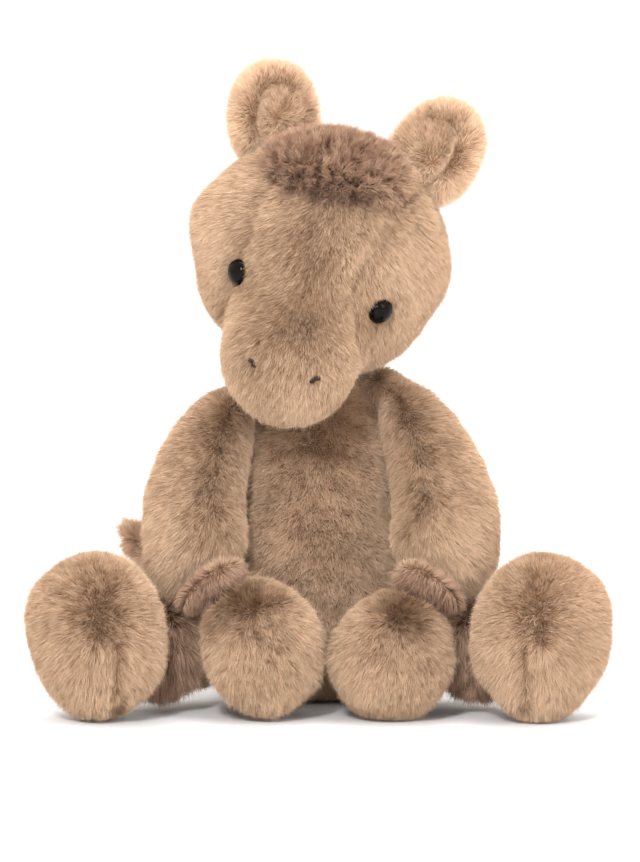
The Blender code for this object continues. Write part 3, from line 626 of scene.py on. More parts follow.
class Pile:
    """How one kind of pile grows: sizes in metres, the rest as shares."""

    def __init__(self, length, finish_name="tan_pile", **changes):
        self.length = length
        self.finish = finish_name
        self.width = 0.00027
        self.lean = 0.17
        self.comb = (0, 0, -1)
        self.spread = 0.13
        self.tuft = 0.1
        self.tuft_size = 0.007
        self.steps = 1
        self.thickness = 1.0
        self.tone = 0.5
        self.tone_spread = 0.17
        self.mottle = 0.07
        self.mottle_size = 0.003
        self.pieces = 1
        for name, value in changes.items():
            setattr(self, name, value)


def scatter(mesh, count, rng):
    """Random points spread evenly over a mesh, with the surface's direction at each."""
    mesh.calc_loop_triangles()
    corners = np.zeros(len(mesh.loop_triangles) * 3, int)
    mesh.loop_triangles.foreach_get("vertices", corners)
    corners = corners.reshape(-1, 3)
    points, normals = points_of(mesh), normals_of(mesh)
    a, b, c = (points[corners[:, k]] for k in range(3))
    areas = np.linalg.norm(np.cross(b - a, c - a), axis=1) / 2
    chosen = rng.choice(len(areas), count, p=areas / areas.sum())
    u, v = rng.random((2, count))
    over = u + v > 1
    u[over], v[over] = 1 - u[over], 1 - v[over]
    shares = np.stack([1 - u - v, u, v], 1)[:, :, None]
    roots = (points[corners[chosen]] * shares).sum(1)
    return roots, unit((normals[corners[chosen]] * shares).sum(1))


def area_of(mesh):
    """The mesh's area in square metres."""
    sizes = np.zeros(len(mesh.polygons))
    mesh.polygons.foreach_get("area", sizes)
    return sizes.sum()


def part_at_seams(roots, seams, reach):
    """How near each root is to a seam, from 0 far away to 1 on it, and the way away from it."""
    near = np.full(len(roots), np.inf)
    away = np.zeros_like(roots)
    for seam in seams:
        line = np.array(seam, float)
        for start, end in zip(line[:-1], line[1:]):
            d = end - start
            t = np.clip((roots - start) @ d / (d @ d), 0, 1)
            gap = roots - (start + t[:, None] * d)
            distance = np.linalg.norm(gap, axis=1)
            closer = distance < near
            near[closer] = distance[closer]
            away[closer] = gap[closer]
    return np.clip(1 - near / reach, 0, 1), unit(away)


def clear_lengths(tree, roots, headings, lengths):
    """Each strand's length with neighbours in its way; nothing grows inside a neighbour."""
    result = lengths.copy()
    starts, ways, wanted = roots.tolist(), headings.tolist(), lengths.tolist()
    for i, (start, way, length) in enumerate(zip(starts, ways, wanted)):
        place, normal, _, distance = tree.ray_cast(start, way, length + LEAST_LENGTH)
        if place is None:
            continue
        if normal.dot(Vector(way)) > 0:
            result[i] = 0
        else:
            result[i] = min(length, max(distance, LEAST_LENGTH))
    return result


def strand_mesh(name, roots, along, droop, across, lengths, pile, tones):
    """Flat tapered strands that bend over, each with its own place in the colour map."""
    steps, count = pile.steps, len(roots)
    per = steps * 2 + 1
    points = np.zeros((count, per, 3))
    uv_u, uv_v = np.zeros((2, count, per))
    for row in range(steps + 1):
        t = row / steps
        centre = roots + (along * t + droop * t * t / 2) * lengths[:, None]
        if row == steps:
            points[:, -1] = centre
            uv_u[:, -1] = tones
            uv_v[:, -1] = 0.985
            continue
        half = across * (pile.width / 2 * (1 - 0.75 * t**1.5))
        points[:, 2 * row] = centre - half
        points[:, 2 * row + 1] = centre + half
        uv_u[:, 2 * row] = tones - 0.004
        uv_u[:, 2 * row + 1] = tones + 0.004
        uv_v[:, 2 * row : 2 * row + 2] = 0.015 + 0.97 * t
    points[:, :, 2] = np.maximum(points[:, :, 2], FLOOR_GAP)
    first = np.arange(count)[:, None] * per
    shape = []
    for row in range(steps - 1):
        shape += [2 * row, 2 * row + 1, 2 * row + 3, 2 * row + 2]
    shape += [2 * steps - 2, 2 * steps - 1, 2 * steps]
    shape = np.array(shape)
    corners = (first + shape).ravel()
    sizes = np.tile([4] * (steps - 1) + [3], count)
    starts = np.concatenate([[0], np.cumsum(sizes)[:-1]])
    mesh = bpy.data.meshes.new(name)
    mesh.vertices.add(count * per)
    mesh.vertices.foreach_set("co", points.ravel())
    mesh.loops.add(len(corners))
    mesh.loops.foreach_set("vertex_index", corners.astype(np.int32))
    mesh.polygons.add(len(sizes))
    mesh.polygons.foreach_set("loop_start", starts.astype(np.int32))
    uv = mesh.uv_layers.new(name=MAP_NAME)
    flat = np.stack([uv_u.reshape(-1)[corners], uv_v.reshape(-1)[corners]], 1)
    uv.data.foreach_set("uv", flat.ravel())
    mesh.update(calc_edges=True)
    mesh.materials.append(finish(pile.finish))
    return mesh


def grow(skin, node, pile, seed, seams=(), bare=(), shorter=None, past=(), also=()):
    """Covers a skin with pile, in as many pieces as the pile says, from front to back.

    Seams part it, bare places (a middle and a radius) stay without it, and it stops short of its
    neighbours, but for the nodes that it may grow past and with the skins that it also heeds.
    """
    rng = np.random.default_rng(seed)
    thickness = bpy.context.scene.plush_pile.strands_per_square_mm * 1e6 * pile.thickness
    thickness *= 1
    roots, normals = scatter(skin.data, int(area_of(skin.data) * thickness), rng)
    keep = np.ones(len(roots), bool)
    for place, radius in bare:
        keep &= np.linalg.norm(roots - np.array(place), axis=1) > radius
    roots, normals = roots[keep], normals[keep]
    lengths = pile.length * np.clip(rng.normal(1, LENGTH_SPREAD, len(roots)), 0.6, 1.2)
    lengths *= np.where(rng.random(len(roots)) < LONG_SHARE, LONG_LENGTH, 1)
    if shorter:
        lengths *= shorter(roots)
    comb = pile.comb(roots) if callable(pile.comb) else np.array(pile.comb, float)
    flat = comb - (comb * normals).sum(1, keepdims=True) * normals
    tufts = sway(roots, pile.tuft_size, seed + 1) * pile.tuft
    tufts += sway(roots, pile.tuft_size * 0.35, seed + 2) * pile.tuft * 0.7
    along = normals + flat * pile.lean + tufts + rng.normal(size=roots.shape) * pile.spread
    close, away = part_at_seams(roots, seams, SEAM_REACH)
    along += away * (close * SEAM_PARTING)[:, None]
    lengths *= 1 - SEAM_TRIM * close
    inward = np.minimum((along * normals).sum(1, keepdims=True) - LEAST_RISE, 0)
    along = unit(along - inward * normals)
    droop = (flat - normals * 0.15) * pile.lean * 0.9 + tufts * 0.4
    across = unit(np.cross(along, rng.normal(size=roots.shape)))
    lengths = clear_lengths(tree_around((node, *past), also), roots, along, lengths)
    tones = pile.tone(roots) if callable(pile.tone) else np.full(len(roots), pile.tone)
    tones += sway(roots, 0.022, seed + 3)[:, 0] * pile.tone_spread * 0.3
    tones += sway(roots, pile.mottle_size, seed + 4)[:, 0] * pile.mottle
    tones += rng.normal(size=len(roots)) * pile.tone_spread * 0.7 - close * SEAM_SHADE
    tones = np.clip(tones, 0.01, 0.99)
    grown = np.flatnonzero(lengths > 0)
    grown = grown[np.argsort(roots[grown, 1], kind="stable")]
    endings = [""] if pile.pieces == 1 else [f"_{k + 1}" for k in range(pile.pieces)]
    for ending, part in zip(endings, np.array_split(grown, pile.pieces)):
        name = f"{node}_pile{ending}"
        chosen = [x[part] for x in (roots, along, droop, across, lengths)]
        strands = placed(name, strand_mesh(name, *chosen, pile, tones[part]))
        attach(strands, body_under(node))


def turned_mesh(name, profile, steps, place, axis):
    """A solid of revolution: (radius, height) points turned about an axis at a place."""
    verts = [point for radius, height in profile for point in circle(radius, height, steps)]
    mesh = mesh_of(name, (verts, closed_faces(len(profile), steps)))
    turn = Vector(axis).to_track_quat("Z", "Y").to_matrix().to_4x4()
    mesh.transform(Matrix.Translation(place) @ turn)
    mesh.update()
    return mesh


def stand_in(node, mesh, kind):
    """Shows a mesh of this finish in the place of a CAD node."""
    mesh.polygons.foreach_set("use_smooth", [True] * len(mesh.polygons))
    mesh.materials.append(finish(kind))
    shown = placed(mesh.name, mesh)
    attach(shown, body_under(node))
    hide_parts(node)


def eye_axis(side):
    """The middle of an eye's dome on the CAD model, and the direction that it looks in."""
    eye = points_of(frame["nodes"][f"eye_{side}"].data)
    washer = points_of(frame["nodes"][f"eye_washer_{side}"].data)
    lo, hi = eye.mean(0), washer.mean(0)
    axis = unit(lo - hi)
    heights = (eye - hi) @ axis
    radii = np.linalg.norm(eye - hi - heights[:, None] * axis, axis=1)
    top = hi + axis * heights.max()
    return top, axis, radii[heights > heights.max() - 0.006].max()


# ---------------------------------------------------------------- settings


class PlushPile(bpy.types.PropertyGroup):
    """Sizes of the pile."""

    tan_length: FloatProperty(
        name="Tan pile", description="Length of the body's pile", default=0.0041, unit="LENGTH"
    )
    face_length: FloatProperty(
        name="Face pile",
        description="Length of the pile on the head",
        default=0.0036,
        unit="LENGTH",
    )
    brown_length: FloatProperty(
        name="Brown pile", description="Length of the brown pile", default=0.0056, unit="LENGTH"
    )
    strands_per_square_mm: FloatProperty(
        name="Thickness", description="Strands on each square millimetre of cloth", default=14.0
    )
    tuck: FloatProperty(
        name="Cloth depth",
        description="How far the cloth lies below the form",
        default=0.0023,
        unit="LENGTH",
    )


class PlushDyesAndShade(bpy.types.PropertyGroup):
    """Colours of the pile; the darker roots are partly the pile's own colour and partly painted shade
    deep in the pile.
    """

    tan_tip: FloatVectorProperty(
        name="Tan tips",
        description="Colour of the tan pile's tips",
        subtype="COLOR",
        default=(0.72, 0.525, 0.365),
    )
    # The roots: the pile's own darker colour with painted shade deep in the pile.
    tan_root: FloatVectorProperty(
        name="Tan roots",
        description="Colour of the tan pile's roots",
        subtype="COLOR",
        default=(0.44, 0.275, 0.168),
    )
    brown_tip: FloatVectorProperty(
        name="Brown tips",
        description="Colour of the brown pile's tips",
        subtype="COLOR",
        default=(0.49, 0.31, 0.215),
    )
    # The roots: the pile's own darker colour with painted shade deep in the pile.
    brown_root: FloatVectorProperty(
        name="Brown roots",
        description="Colour of the brown pile's roots",
        subtype="COLOR",
        default=(0.17, 0.085, 0.054),
    )


class PlushStudio(bpy.types.PropertyGroup):
    """The stage that the horse is photographed on."""

    key_power: FloatProperty(
        name="Key light", description="Power of the key light", default=26, unit="POWER"
    )
    sky: FloatProperty(
        name="Room light", description="Strength of the light from all round", default=1.3
    )
    distance: FloatProperty(
        name="Camera distance",
        description="From the horse to the camera",
        default=3.0,
        unit="LENGTH",
    )
    eye_steps: IntProperty(name="Eye steps", description="Steps round each eye", default=64)


# ---------------------------------------------------------------- operators


class PLUSH_OT_torso(bpy.types.Operator):
    """Dress the torso and the neck"""

    bl_idname = "plush_horse.torso"
    bl_label = "Torso and neck"

    def execute(self, context):
        settings = context.scene.plush_pile
        skin = skin_over("torso", "tan_backing", settings.tuck)
        tree = tree_of(skin)
        seam = [tuple(tree.ray_cast((0, 0.3, z / 1000), (0, -1, 0))[0]) for z in BACK_SEAM]
        pile = Pile(settings.tan_length, tone=TORSO_TONE, lean=0.3, tuft=0.06, pieces=3)
        grow(skin, "torso", pile, 11, seams=[seam])
        skin = skin_over("neck", "tan_backing", -0.0016)
        pile = Pile(settings.tan_length, thickness=0.7)
        grow(skin, "neck", pile, 12, past=("torso", "arm_left", "arm_right"))
        return {"FINISHED"}


def filled_face(points, normals):
    """The head with its brow and cheeks filled out, and its seams drawn in.

    Forehead and muzzle make one slope, as in the photograph.
    """
    p = into(points, FACE_PLACE, FACE_AXES)
    brow = np.exp(-(((p[:, 1] + 0.039) / 0.013) ** 2) - (p[:, 0] / 0.021) ** 4)
    p[:, 2] += BROW_FILL * brow * eased(p[:, 2], 0.008, 0.012)
    level = (p[:, 1] + p[:, 2]) * 0.71
    wider = CHEEK_FILL * hump(level, 0.003, 0.01) - JAW_TUCK * hump(level, -0.021, 0.01)
    wider += np.where(p[:, 0] < 0, RIGHT_CHEEK_FILL, 0.0)
    p[:, 0] += np.sign(p[:, 0]) * eased(np.abs(p[:, 0]), 0.015, 0.02) * wider
    moved = out_of(p, FACE_PLACE, FACE_AXES)
    gaps = (moved - TEMPLE) * (1, 0, 1) / TEMPLE_REACH
    moved += normals * (TEMPLE_FILL * np.exp(-(gaps**2).sum(1)))[:, None]
    near, _ = part_at_seams(moved, face_seams(), SEAM_TUCK_REACH)
    return moved - normals * (near**2 * SEAM_TUCK)[:, None]


def face_seams():
    """The seams of the face, laid on the CAD head."""
    tree = tree_of(frame["nodes"]["head"])
    return [[tuple(on_surface(tree, x, y)) for x, y in line] for line in FACE_SEAMS]


def face_comb(roots):
    """Pile combed down the face and outward over the cheeks."""
    across, back, _ = into(roots, FACE_PLACE, FACE_AXES).T
    side = np.clip(across / 0.03, -1, 1)
    cheek = eased(back, -0.05, 0.03)
    inward = -0.35 * np.abs(side) - 0.5 * (1 - cheek)
    local = np.stack([side * cheek, np.full(len(roots), -0.8), inward], 1)
    flatter = 1 + 0.5 * hump(across, 0, 0.014) * hump(back, -0.05, 0.018)
    flatter += 0.4 * hump(across, 0, 0.016) * eased(back, -0.035, 0.02)
    return flatter[:, None] * local @ np.array(FACE_AXES)


def face_tone(roots):
    """Pile that is browner on the top of the muzzle, darker round the eyes with dark fur and painted
    shade in their hollows, and paler on the cheeks as painted rim light.
    """
    across, back, up = into(roots, FACE_PLACE, FACE_AXES).T
    bridge = np.exp(-((across / 0.025) ** 2) - ((back + 0.055) / 0.019) ** 2) * eased(up, 0, 0.02)
    # Browner on the top of the muzzle, and paler towards the outer cheeks as painted rim light where
    # the head turns away.
    tone = FACE_TONE - 0.2 * bridge + 0.1 * eased(np.abs(across), 0.022, 0.02)
    for side in SIDES:
        gaps = np.linalg.norm(roots - eye_axis(side)[0], axis=1)
        # Darker round each eye: dark fur and painted shade in the eye's hollow.
        tone -= 0.4 * hump(gaps, 0, 0.009)
    return tone


class PLUSH_OT_head(bpy.types.Operator):
    """Dress the head, with bare rings for the eyes, trimmed pile round them and parted seams"""

    bl_idname = "plush_horse.head"
    bl_label = "Head"

    def execute(self, context):
        settings = context.scene.plush_pile
        skin = skin_over("head", "tan_backing", settings.tuck * 0.8, rounds=16, sculpt=filled_face)
        bare, trimmed = [], []
        for side, way in OUTWARD.items():
            top, axis, radius = eye_axis(side)
            across = np.array(FACE_AXES[0]) * way
            ring = top - axis * EYE_RING_DEPTH + across * EYE_RING_SHIFT
            bare.append((ring, radius + EYE_RING_GAP))
            trimmed.append((top + across * EYE_TRIM_SHIFT, EYE_TRIM_REACH))
            nose = middle_of(f"nostril_stitch_{side}")
            bare.append((nose, NOSTRIL_BARE))
            trimmed.append((nose, NOSTRIL_TRIM_REACH))

        forelock = tree_of(bpy.data.objects["forelock_skin"])

        def shorter(roots):
            gaps = np.array([forelock.find_nearest(root)[3] for root in roots.tolist()])
            share = 0.35 + 0.65 * eased(gaps, 0.0008, 0.003)
            for place, reach in trimmed:
                gap = np.linalg.norm(roots - place, axis=1) / reach
                full = np.clip(gap * 1.6 - 0.6, 0, 1)
                share = np.minimum(share, TRIM_LEAST + (1 - TRIM_LEAST) * full)
            return share

        pile = Pile(
            settings.face_length, tone=face_tone, comb=face_comb, lean=0.65, tuft=0.08, pieces=3,
        )
        also = ("forelock_skin",)
        grow(skin, "head", pile, 21, seams=face_seams(), bare=bare, shorter=shorter, also=also)
        return {"FINISHED"}


def ear_rim(side):
    """The middle line of the folded rim, in the ear's own frame."""
    rim = np.array(RIM_LINE) * RIM_SIZE + RIM_SHIFTS[side]
    return smooth_path(rim * (OUTWARD[side], 1, 1) / 1000, RIM_STEPS)


def ear_skin(side):
    """An ear whose thick outer rim is folded forward over the padded inner side."""
    radii = np.interp(np.linspace(0, 1, RIM_STEPS), RIM_SHARES, RIM_RADII)
    wall = ball(EAR_WALL, EAR_MIDDLES[side])
    mesh = remeshed(mesh_of("ear", tube(ear_rim(side), radii), wall), voxel=0.0011, rounds=6)
    put_points(mesh, out_of(points_of(mesh), EAR_PLACES[side], EAR_AXES[side]))
    return mesh


class PLUSH_OT_ears(bpy.types.Operator):
    """Dress the folded ears and their padded linings"""

    bl_idname = "plush_horse.ears"
    bl_label = "Ears"

    def execute(self, context):
        settings = context.scene.plush_pile
        for k, (side, way) in enumerate(OUTWARD.items()):
            node, place, axes = f"ear_{side}", EAR_PLACES[side], EAR_AXES[side]
            middle = LINING_MIDDLES[side]
            crease = ear_rim(side)[CREASE_START:CREASE_END] + np.array(CREASE_SHIFT) * (way, 1, 1)
            crease[:, 2] -= np.linspace(0, 1, len(crease)) ** 2 * CREASE_DROP
            seams = [out_of(crease, place, axes)]

            def shorter(roots):
                across, back, up = into(roots, place, axes).T
                pad = -(((across * way + 0.003) / 0.0105) ** 4) - ((up - 0.009) / 0.0145) ** 4
                return 1 - 0.5 * np.exp(pad) * (back < -0.001)

            def outward(roots):
                p = into(roots, place, axes) - np.array((0, 0, 0.008))
                return unit(p * (1, 0.2, 1)) @ np.array(axes)

            skin = dress(node, ear_skin(side), "tan_backing")
            pile = Pile(settings.tan_length, lean=0.5, comb=outward, tone=EAR_TONE, tuft=0.1)
            inner, seed = f"ear_lining_{side}", 31 + 10 * k
            grow(skin, node, pile, seed, seams=seams, shorter=shorter, past=(inner,))
            lining = mesh_of("lining", ball(LINING_WALL, middle))
            put_points(lining, out_of(points_of(lining), place, axes))
            skin = dress(inner, remeshed(lining, voxel=0.0009, rounds=2), "tan_backing")

            # Painted shade: the lining darkens towards its edge, where it sinks under the folded rim.
            def painted_shade_at_edge(roots):
                across, _, up = (into(roots, place, axes) - np.array(middle)).T
                edge = np.hypot(across / LINING_WALL[0], up / LINING_WALL[2])
                return LINING_TONE - 0.34 * eased(edge, 0.72, 0.28)

            pile = Pile(
                settings.tan_length * 0.75, tone=painted_shade_at_edge, comb=outward, lean=0.5, tuft=0.12,
            )
            grow(skin, inner, pile, seed + 1, seams=seams, past=(node,))
        return {"FINISHED"}


class PLUSH_OT_crown(bpy.types.Operator):
    """Dress the forelock and the mane in tufted brown pile"""

    bl_idname = "plush_horse.crown"
    bl_label = "Forelock and mane"

    def execute(self, context):
        settings = context.scene.plush_pile

        def lower(points, normals):
            p = into(points, FACE_PLACE, FACE_AXES)
            share = (p[:, 1].max() - p[:, 1]) / np.ptp(p[:, 1])
            return out_of(p + share[:, None] * np.array(FORELOCK_MOVE), FACE_PLACE, FACE_AXES)

        for k, node in enumerate(("forelock", "mane")):
            sculpt = lower if node == "forelock" else None
            skin = skin_over(node, "brown_backing", 0.0012, sculpt=sculpt)
            low = into(points_of(skin.data), FACE_PLACE, FACE_AXES)[:, 1].min()

            # Painted shade: the pile darkens towards its lower edge, where it hangs over the face.
            def painted_shade_at_lower_edge(roots):
                up = (into(roots, FACE_PLACE, FACE_AXES)[:, 1] - low) / 0.02
                return CROWN_TONE + 0.54 * np.clip(up * 1.5, 0, 1)

            pile = Pile(
                settings.brown_length * 0.85, "brown_pile", comb=(0, -0.5, -1), lean=0.26,
                tuft=0.26, tuft_size=0.005, tone=painted_shade_at_lower_edge, tone_spread=0.2,
                mottle=0.13, mottle_size=0.004,
            )
            grow(skin, node, pile, 51 + 10 * k, past=("head",) if node == "forelock" else ())
        return {"FINISHED"}


def wrist_brown_and_shade(roots, out):
    """From 0 on the tan pile to 1 in the brown cloth and painted shade of a wrist, in the crease
    between the arm and the paw.
    """
    gaps = (roots - (out * WRIST_OUT, 0, WRIST_RISE)) * (0.8, 0, 1)
    return np.clip(1.45 - np.linalg.norm(gaps, axis=1) / WRIST_REACH, 0, 1)


class PLUSH_OT_arms(bpy.types.Operator):
    """Dress the arms and the wrist bands, which turn brown and take painted shade towards the paws"""

    bl_idname = "plush_horse.arms"
    bl_label = "Arms"

    def execute(self, context):
        settings = context.scene.plush_pile
        for k, (side, out) in enumerate(OUTWARD.items()):
            paw = tree_of(frame["nodes"][f"paw_{side}"])
            wrist = middle_of(f"wrist_band_{side}")

            def sloping(points, normals):
                share = eased(points[:, 2], 0.08, 0.055) ** 2
                points += share[:, None] * np.array(SHOULDER_MOVES[side])
                share = eased(points[:, 2:], 0.082, -0.03)
                points += (wrist - points) * share * np.array((0.06, 0.36, 0.1))
                lower = eased(points[:, :1] * out, 0.034, 0.02) * 0.007 + 0.003
                points -= share * lower * np.array((0, 0, 1))
                high = points[:, 2]
                wider = hump(high, 0.073, 0.02) * ARM_FILLS[side]
                wider += hump(high, 0.056, 0.011) * ELBOW_FILL
                inner = eased(points[:, 0] * out, 0.046, -0.015)
                moved = np.clip(normals[:, 0] * out, 0, 1) * wider
                moved -= inner * hump(high, 0.063, 0.014) * INNER_TUCK
                return points + moved[:, None] * np.array((out, 0, 0))

            def gaps_to_paw(points):
                return np.array([paw.find_nearest(place)[3] for place in points.tolist()])

            def slimmer(points, normals):
                share = eased(gaps_to_paw(points), 0.008, 0.012)[:, None]
                outer = eased((points[:, :1] - wrist[0]) * out, 0, 0.012)
                moved = points - normals * share * 0.0018 + (wrist - points) * share**2 * 0.3
                return moved + outer * np.array((out * 0.002, -0.001, -0.0025))

            # Arm and band pile darken towards the paw: brown cloth with painted shade in the crease.
            def arm_tone(roots):
                return ARM_TONE - WRIST_SHADE * wrist_brown_and_shade(roots, out)

            def band_tone(roots):
                return BAND_TONE - BAND_SHADE * wrist_brown_and_shade(roots, out)

            arm, band = f"arm_{side}", f"wrist_band_{side}"
            skin = skin_over(arm, "tan_backing", settings.tuck, rounds=14, sculpt=sloping)
            pile = Pile(
                settings.tan_length, tone=arm_tone, comb=(out * 0.7, 0, -1), lean=0.62, tuft=0.07,
            )
            grow(skin, arm, pile, 71 + 10 * k, past=(band,))
            skin = skin_over(band, "tan_backing", settings.tuck * 1.35, rounds=14, sculpt=slimmer)
            pile = Pile(
                settings.brown_length * 0.76, "brown_pile", lean=0.4, tuft=0.12,
                tone=band_tone, tone_spread=0.12,
            )
            grow(skin, band, pile, 72 + 10 * k, past=(arm,))
        return {"FINISHED"}


class PLUSH_OT_paws(bpy.types.Operator):
    """Dress the paws"""

    bl_idname = "plush_horse.paws"
    bl_label = "Paws"

    def execute(self, context):
        settings = context.scene.plush_pile
        for k, (side, out) in enumerate(OUTWARD.items()):

            def higher(points, normals):
                points = points + eased(points[:, 2:], 0.02, 0.035) * np.array((0, 0, 0.0035))
                return points + normals * sway(points, 0.03, 95 + k)[:, :1] * 0.0006

            # The paw darkens by the wrist: brown and painted shade in the crease under the arm.
            def paw_tone(roots):
                return PAW_TONE - WRIST_SHADE * wrist_brown_and_shade(roots, out)

            skin = skin_over(f"paw_{side}", "tan_backing", settings.tuck, sculpt=higher)
            wrist = middle_of(f"wrist_band_{side}")
            pile = Pile(
                settings.tan_length * 1.05, tone=paw_tone, tuft=0.09, lean=0.52, mottle=0.06,
                comb=lambda roots: 0.5 * unit(roots - wrist) - np.array((0, 0, 0.8)),
            )
            grow(skin, f"paw_{side}", pile, 91 + 10 * k)
        return {"FINISHED"}


class PLUSH_OT_legs(bpy.types.Operator):
    """Dress the legs and the shaggy brown bands at the ankles"""

    bl_idname = "plush_horse.legs"
    bl_label = "Legs"

    def execute(self, context):
        settings = context.scene.plush_pile
        for k, side in enumerate(SIDES):
            skin = skin_over(f"leg_{side}", "tan_backing", settings.tuck)
            grow(skin, f"leg_{side}", Pile(settings.tan_length, tone=LEG_TONE), 111 + 10 * k)
            skin = skin_over(f"ankle_band_{side}", "brown_backing", settings.tuck * 0.5)
            pile = Pile(
                settings.brown_length * 1.35, "brown_pile", steps=2, lean=0.9, thickness=0.7,
                tuft=0.3, tuft_size=0.005, tone=LEG_TONE, tone_spread=0.2, mottle=0.1,
            )
            grow(skin, f"ankle_band_{side}", pile, 112 + 10 * k)
        return {"FINISHED"}


class PLUSH_OT_feet(bpy.types.Operator):
    """Dress the large round feet, with the pile parted along the seam down each sole"""

    bl_idname = "plush_horse.feet"
    bl_label = "Feet"

    def execute(self, context):
        settings = context.scene.plush_pile
        for k, (side, out) in enumerate(OUTWARD.items()):

            def fuller_above(points, normals):
                outer = eased((points[:, 0] - points[:, 0].mean()) * out, 0, 0.025)
                points[:, 0] += outer * np.interp(points[:, 2], FOOT_HEIGHTS, FOOT_FILLS) * out
                points[:, 2] += eased(points[:, 2], 0.03, 0.03) * FOOT_RISE
                edge = eased(np.abs(points[:, 0] - points[:, 0].mean()), 0, 0.03) ** 2
                points[:, 2] += edge * eased(points[:, 2], 0.02, -0.02) * FOOT_ROUNDING
                return points + normals * sway(points, 0.035, 135 + k)[:, :1] * 0.0005

            skin = skin_over(f"foot_{side}", "tan_backing", settings.tuck, sculpt=fuller_above)
            tree = tree_of(skin)
            seam = [tuple(on_surface(tree, x, y)) for x, y in SOLE_SEAMS[side]]
            middle = points_of(skin.data).mean(0)
            pile = Pile(
                settings.tan_length * 1.05, tone=FOOT_TONE, tuft=0.08, lean=0.48, mottle=0.06,
                comb=lambda roots: 0.6 * unit((roots - middle) * (1, 0, 1)) + np.array((0, 0, -0.8)),
            )
            grow(skin, f"foot_{side}", pile, 131 + 10 * k, seams=[seam])
        return {"FINISHED"}


class PLUSH_OT_tail(bpy.types.Operator):
    """Dress the tail"""

    bl_idname = "plush_horse.tail"
    bl_label = "Tail"

    def execute(self, context):
        settings = context.scene.plush_pile
        skin = skin_over("tail", "brown_backing", 0.0016)
        pile = Pile(
            settings.brown_length, "brown_pile", tone=TAIL_TONE, comb=(-1, 0.2, -0.3), lean=0.3,
            tuft=0.25,
        )
        grow(skin, "tail", pile, 151)
        return {"FINISHED"}


class PLUSH_OT_eyes(bpy.types.Operator):
    """Turn the glossy domed eyes"""

    bl_idname = "plush_horse.eyes"
    bl_label = "Eyes"

    def execute(self, context):
        steps = context.scene.plush_studio.eye_steps
        for side in SIDES:
            top, axis, radius = eye_axis(side)
            brim = -EYE_DOME - EYE_BRIM
            profile = [(SHANK_RADIUS, -SHANK_LENGTH), (SHANK_RADIUS, brim), (radius, brim)]
            for k in range(EYE_ARC_STEPS + 1):
                a = math.pi / 2 * k / EYE_ARC_STEPS
                profile.append((max(radius * math.cos(a), 1e-5), -EYE_DOME * (1 - math.sin(a))))
            dome = turned_mesh(f"eye_{side}_dome", profile, steps, top, axis)
            stand_in(f"eye_{side}", dome, "eye_black")
        return {"FINISHED"}


class PLUSH_OT_nostrils(bpy.types.Operator):
    """Stitch the nostrils in satin stitch"""

    bl_idname = "plush_horse.nostrils"
    bl_label = "Nostrils"

    def execute(self, context):
        skull = tree_of(frame["nodes"]["head"])
        for side in SIDES:
            node = f"nostril_stitch_{side}"
            points = points_of(frame["nodes"][node].data)
            middle = points.mean(0)
            long_way = np.linalg.svd(points - middle)[2][0]
            out = np.array(skull.find_nearest(middle)[1])
            out = unit(out - long_way * (out @ long_way))
            wide = np.cross(long_way, out)
            parts = []
            for row in STITCH_ROWS:
                reach = STITCH_REACH * (1 - 0.09 * row * row)
                path = []
                for t in np.linspace(-1, 1, 11):
                    rise = STITCH_RISE * (1 - t * t) * (1 - 0.05 * row * row) - STITCH_SINK
                    across = wide * row * STITCH_APART
                    path.append(middle + long_way * reach * t + out * rise + across)
                parts.append(tube(path, [STITCH_RADIUS] * len(path), sides=8))
            stand_in(node, mesh_of(f"nostril_threads_{side}", *parts), "nose_thread")
        return {"FINISHED"}


class PLUSH_OT_inner(bpy.types.Operator):
    """Finish the pieces held inside, and the stitches"""

    bl_idname = "plush_horse.inner"
    bl_label = "Pouches, washers and stitches"

    def execute(self, context):
        for name, obj in frame["nodes"].items():
            if name.endswith("thread") or "stitch" in name:
                kind = "nose_thread"
            elif "washer" in name:
                kind = "washer_white"
            elif "pouch" in name:
                kind = "linen"
            else:
                continue
            obj.data.materials.clear()
            obj.data.materials.append(finish(kind))
        return {"FINISHED"}


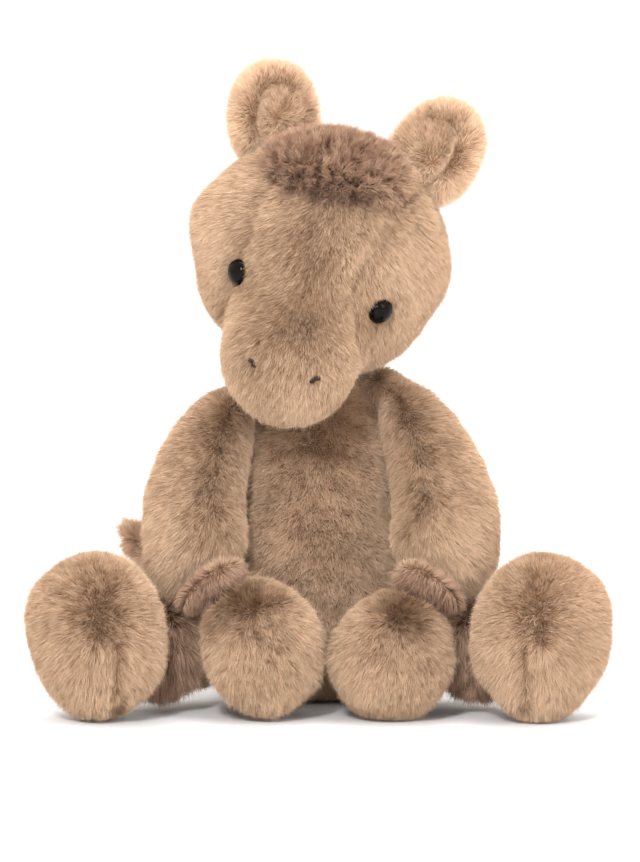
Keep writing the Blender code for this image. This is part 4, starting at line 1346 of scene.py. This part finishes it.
class PLUSH_OT_stage(bpy.types.Operator):
    """Set up the pale stage, the soft lights and the camera"""

    bl_idname = "plush_horse.stage"
    bl_label = "Stage, lights and camera"

    def execute(self, context):
        studio = context.scene.plush_studio
        steps = FLOOR_STEPS
        verts = [(0.0, 0.0, 0.0)]
        faces = [(0, 1 + j, 1 + (j + 1) % steps) for j in range(steps)]
        for k, radius in enumerate(FLOOR_RINGS):
            verts += circle(radius, 0.0, steps)
            outer = 1 + k * steps
            inner = outer - steps
            for j in range(steps):
                n = (j + 1) % steps
                if k:
                    faces.append((inner + j, outer + j, outer + n, inner + n))
        mesh = mesh_of("pale_floor", (verts, faces))
        mesh.materials.append(finish("pale_paper"))
        placed("pale_floor", mesh)
        world = bpy.data.worlds.new("studio")
        world.use_nodes = True
        world.node_tree.nodes["Background"].inputs[0].default_value = (1.0, 0.975, 0.95, 1)
        world.node_tree.nodes["Background"].inputs[1].default_value = studio.sky
        context.scene.world = world
        for name, (place, wide, high, share) in LIGHTS.items():
            data = bpy.data.lights.new(name, "AREA")
            data.shape = "RECTANGLE"
            data.size, data.size_y = wide, high
            data.energy = studio.key_power * share
            light = placed(name, data)
            light.location = place
            aim = Vector(LIT_POINT) - Vector(place)
            light.rotation_euler = aim.to_track_quat("-Z", "Y").to_euler()
        data = bpy.data.cameras.new("camera")
        data.sensor_width = SENSOR
        data.lens = SENSOR * studio.distance / (PICTURE[1] * PIXEL)
        data.clip_start, data.clip_end = 0.05, 30
        middle_high = (FLOOR_PIXEL - PICTURE[1] / 2) * PIXEL - FLOOR_DROP
        middle_wide = (PICTURE[0] / 2 - MIDDLE_PIXEL) * PIXEL
        middle = Vector((middle_wide, 0, middle_high / math.cos(TILT)))
        back = Vector((0, -math.cos(TILT), math.sin(TILT)))
        camera = placed("camera", data)
        camera.location = middle + back * studio.distance
        camera.rotation_euler = (-back).to_track_quat("-Z", "Y").to_euler()
        context.scene.camera = camera
        context.scene.view_settings.view_transform = "Standard"
        return {"FINISHED"}


OPERATORS = (
    PLUSH_OT_torso,
    PLUSH_OT_crown,
    PLUSH_OT_head,
    PLUSH_OT_ears,
    PLUSH_OT_arms,
    PLUSH_OT_paws,
    PLUSH_OT_legs,
    PLUSH_OT_feet,
    PLUSH_OT_tail,
    PLUSH_OT_eyes,
    PLUSH_OT_nostrils,
    PLUSH_OT_inner,
    PLUSH_OT_stage,
)


class PLUSH_PT_panel(bpy.types.Panel):
    """Lists the horse's settings and its pieces"""

    bl_label = "Plush Horse"
    bl_idname = "PLUSH_PT_panel"
    bl_space_type = "VIEW_3D"
    bl_region_type = "UI"
    bl_category = "Plush Horse"

    def draw(self, context):
        scene = context.scene
        for group in (scene.plush_pile, scene.plush_dyes, scene.plush_studio):
            box = self.layout.box()
            for name in group.__annotations__:
                box.prop(group, name)
        for operator in OPERATORS:
            self.layout.operator(operator.bl_idname)


CLASSES = (PlushPile, PlushDyesAndShade, PlushStudio, *OPERATORS, PLUSH_PT_panel)


def register():
    for cls in CLASSES:
        bpy.utils.register_class(cls)
    bpy.types.Scene.plush_pile = PointerProperty(type=PlushPile)
    bpy.types.Scene.plush_dyes = PointerProperty(type=PlushDyesAndShade)
    bpy.types.Scene.plush_studio = PointerProperty(type=PlushStudio)


def unregister():
    del bpy.types.Scene.plush_studio
    del bpy.types.Scene.plush_dyes
    del bpy.types.Scene.plush_pile
    for cls in reversed(CLASSES):
        bpy.utils.unregister_class(cls)


def main():
    register()
    for operator in OPERATORS:
        group, name = operator.bl_idname.split(".")
        getattr(getattr(bpy.ops, group), name)()


if __name__ == "__main__":
    main()
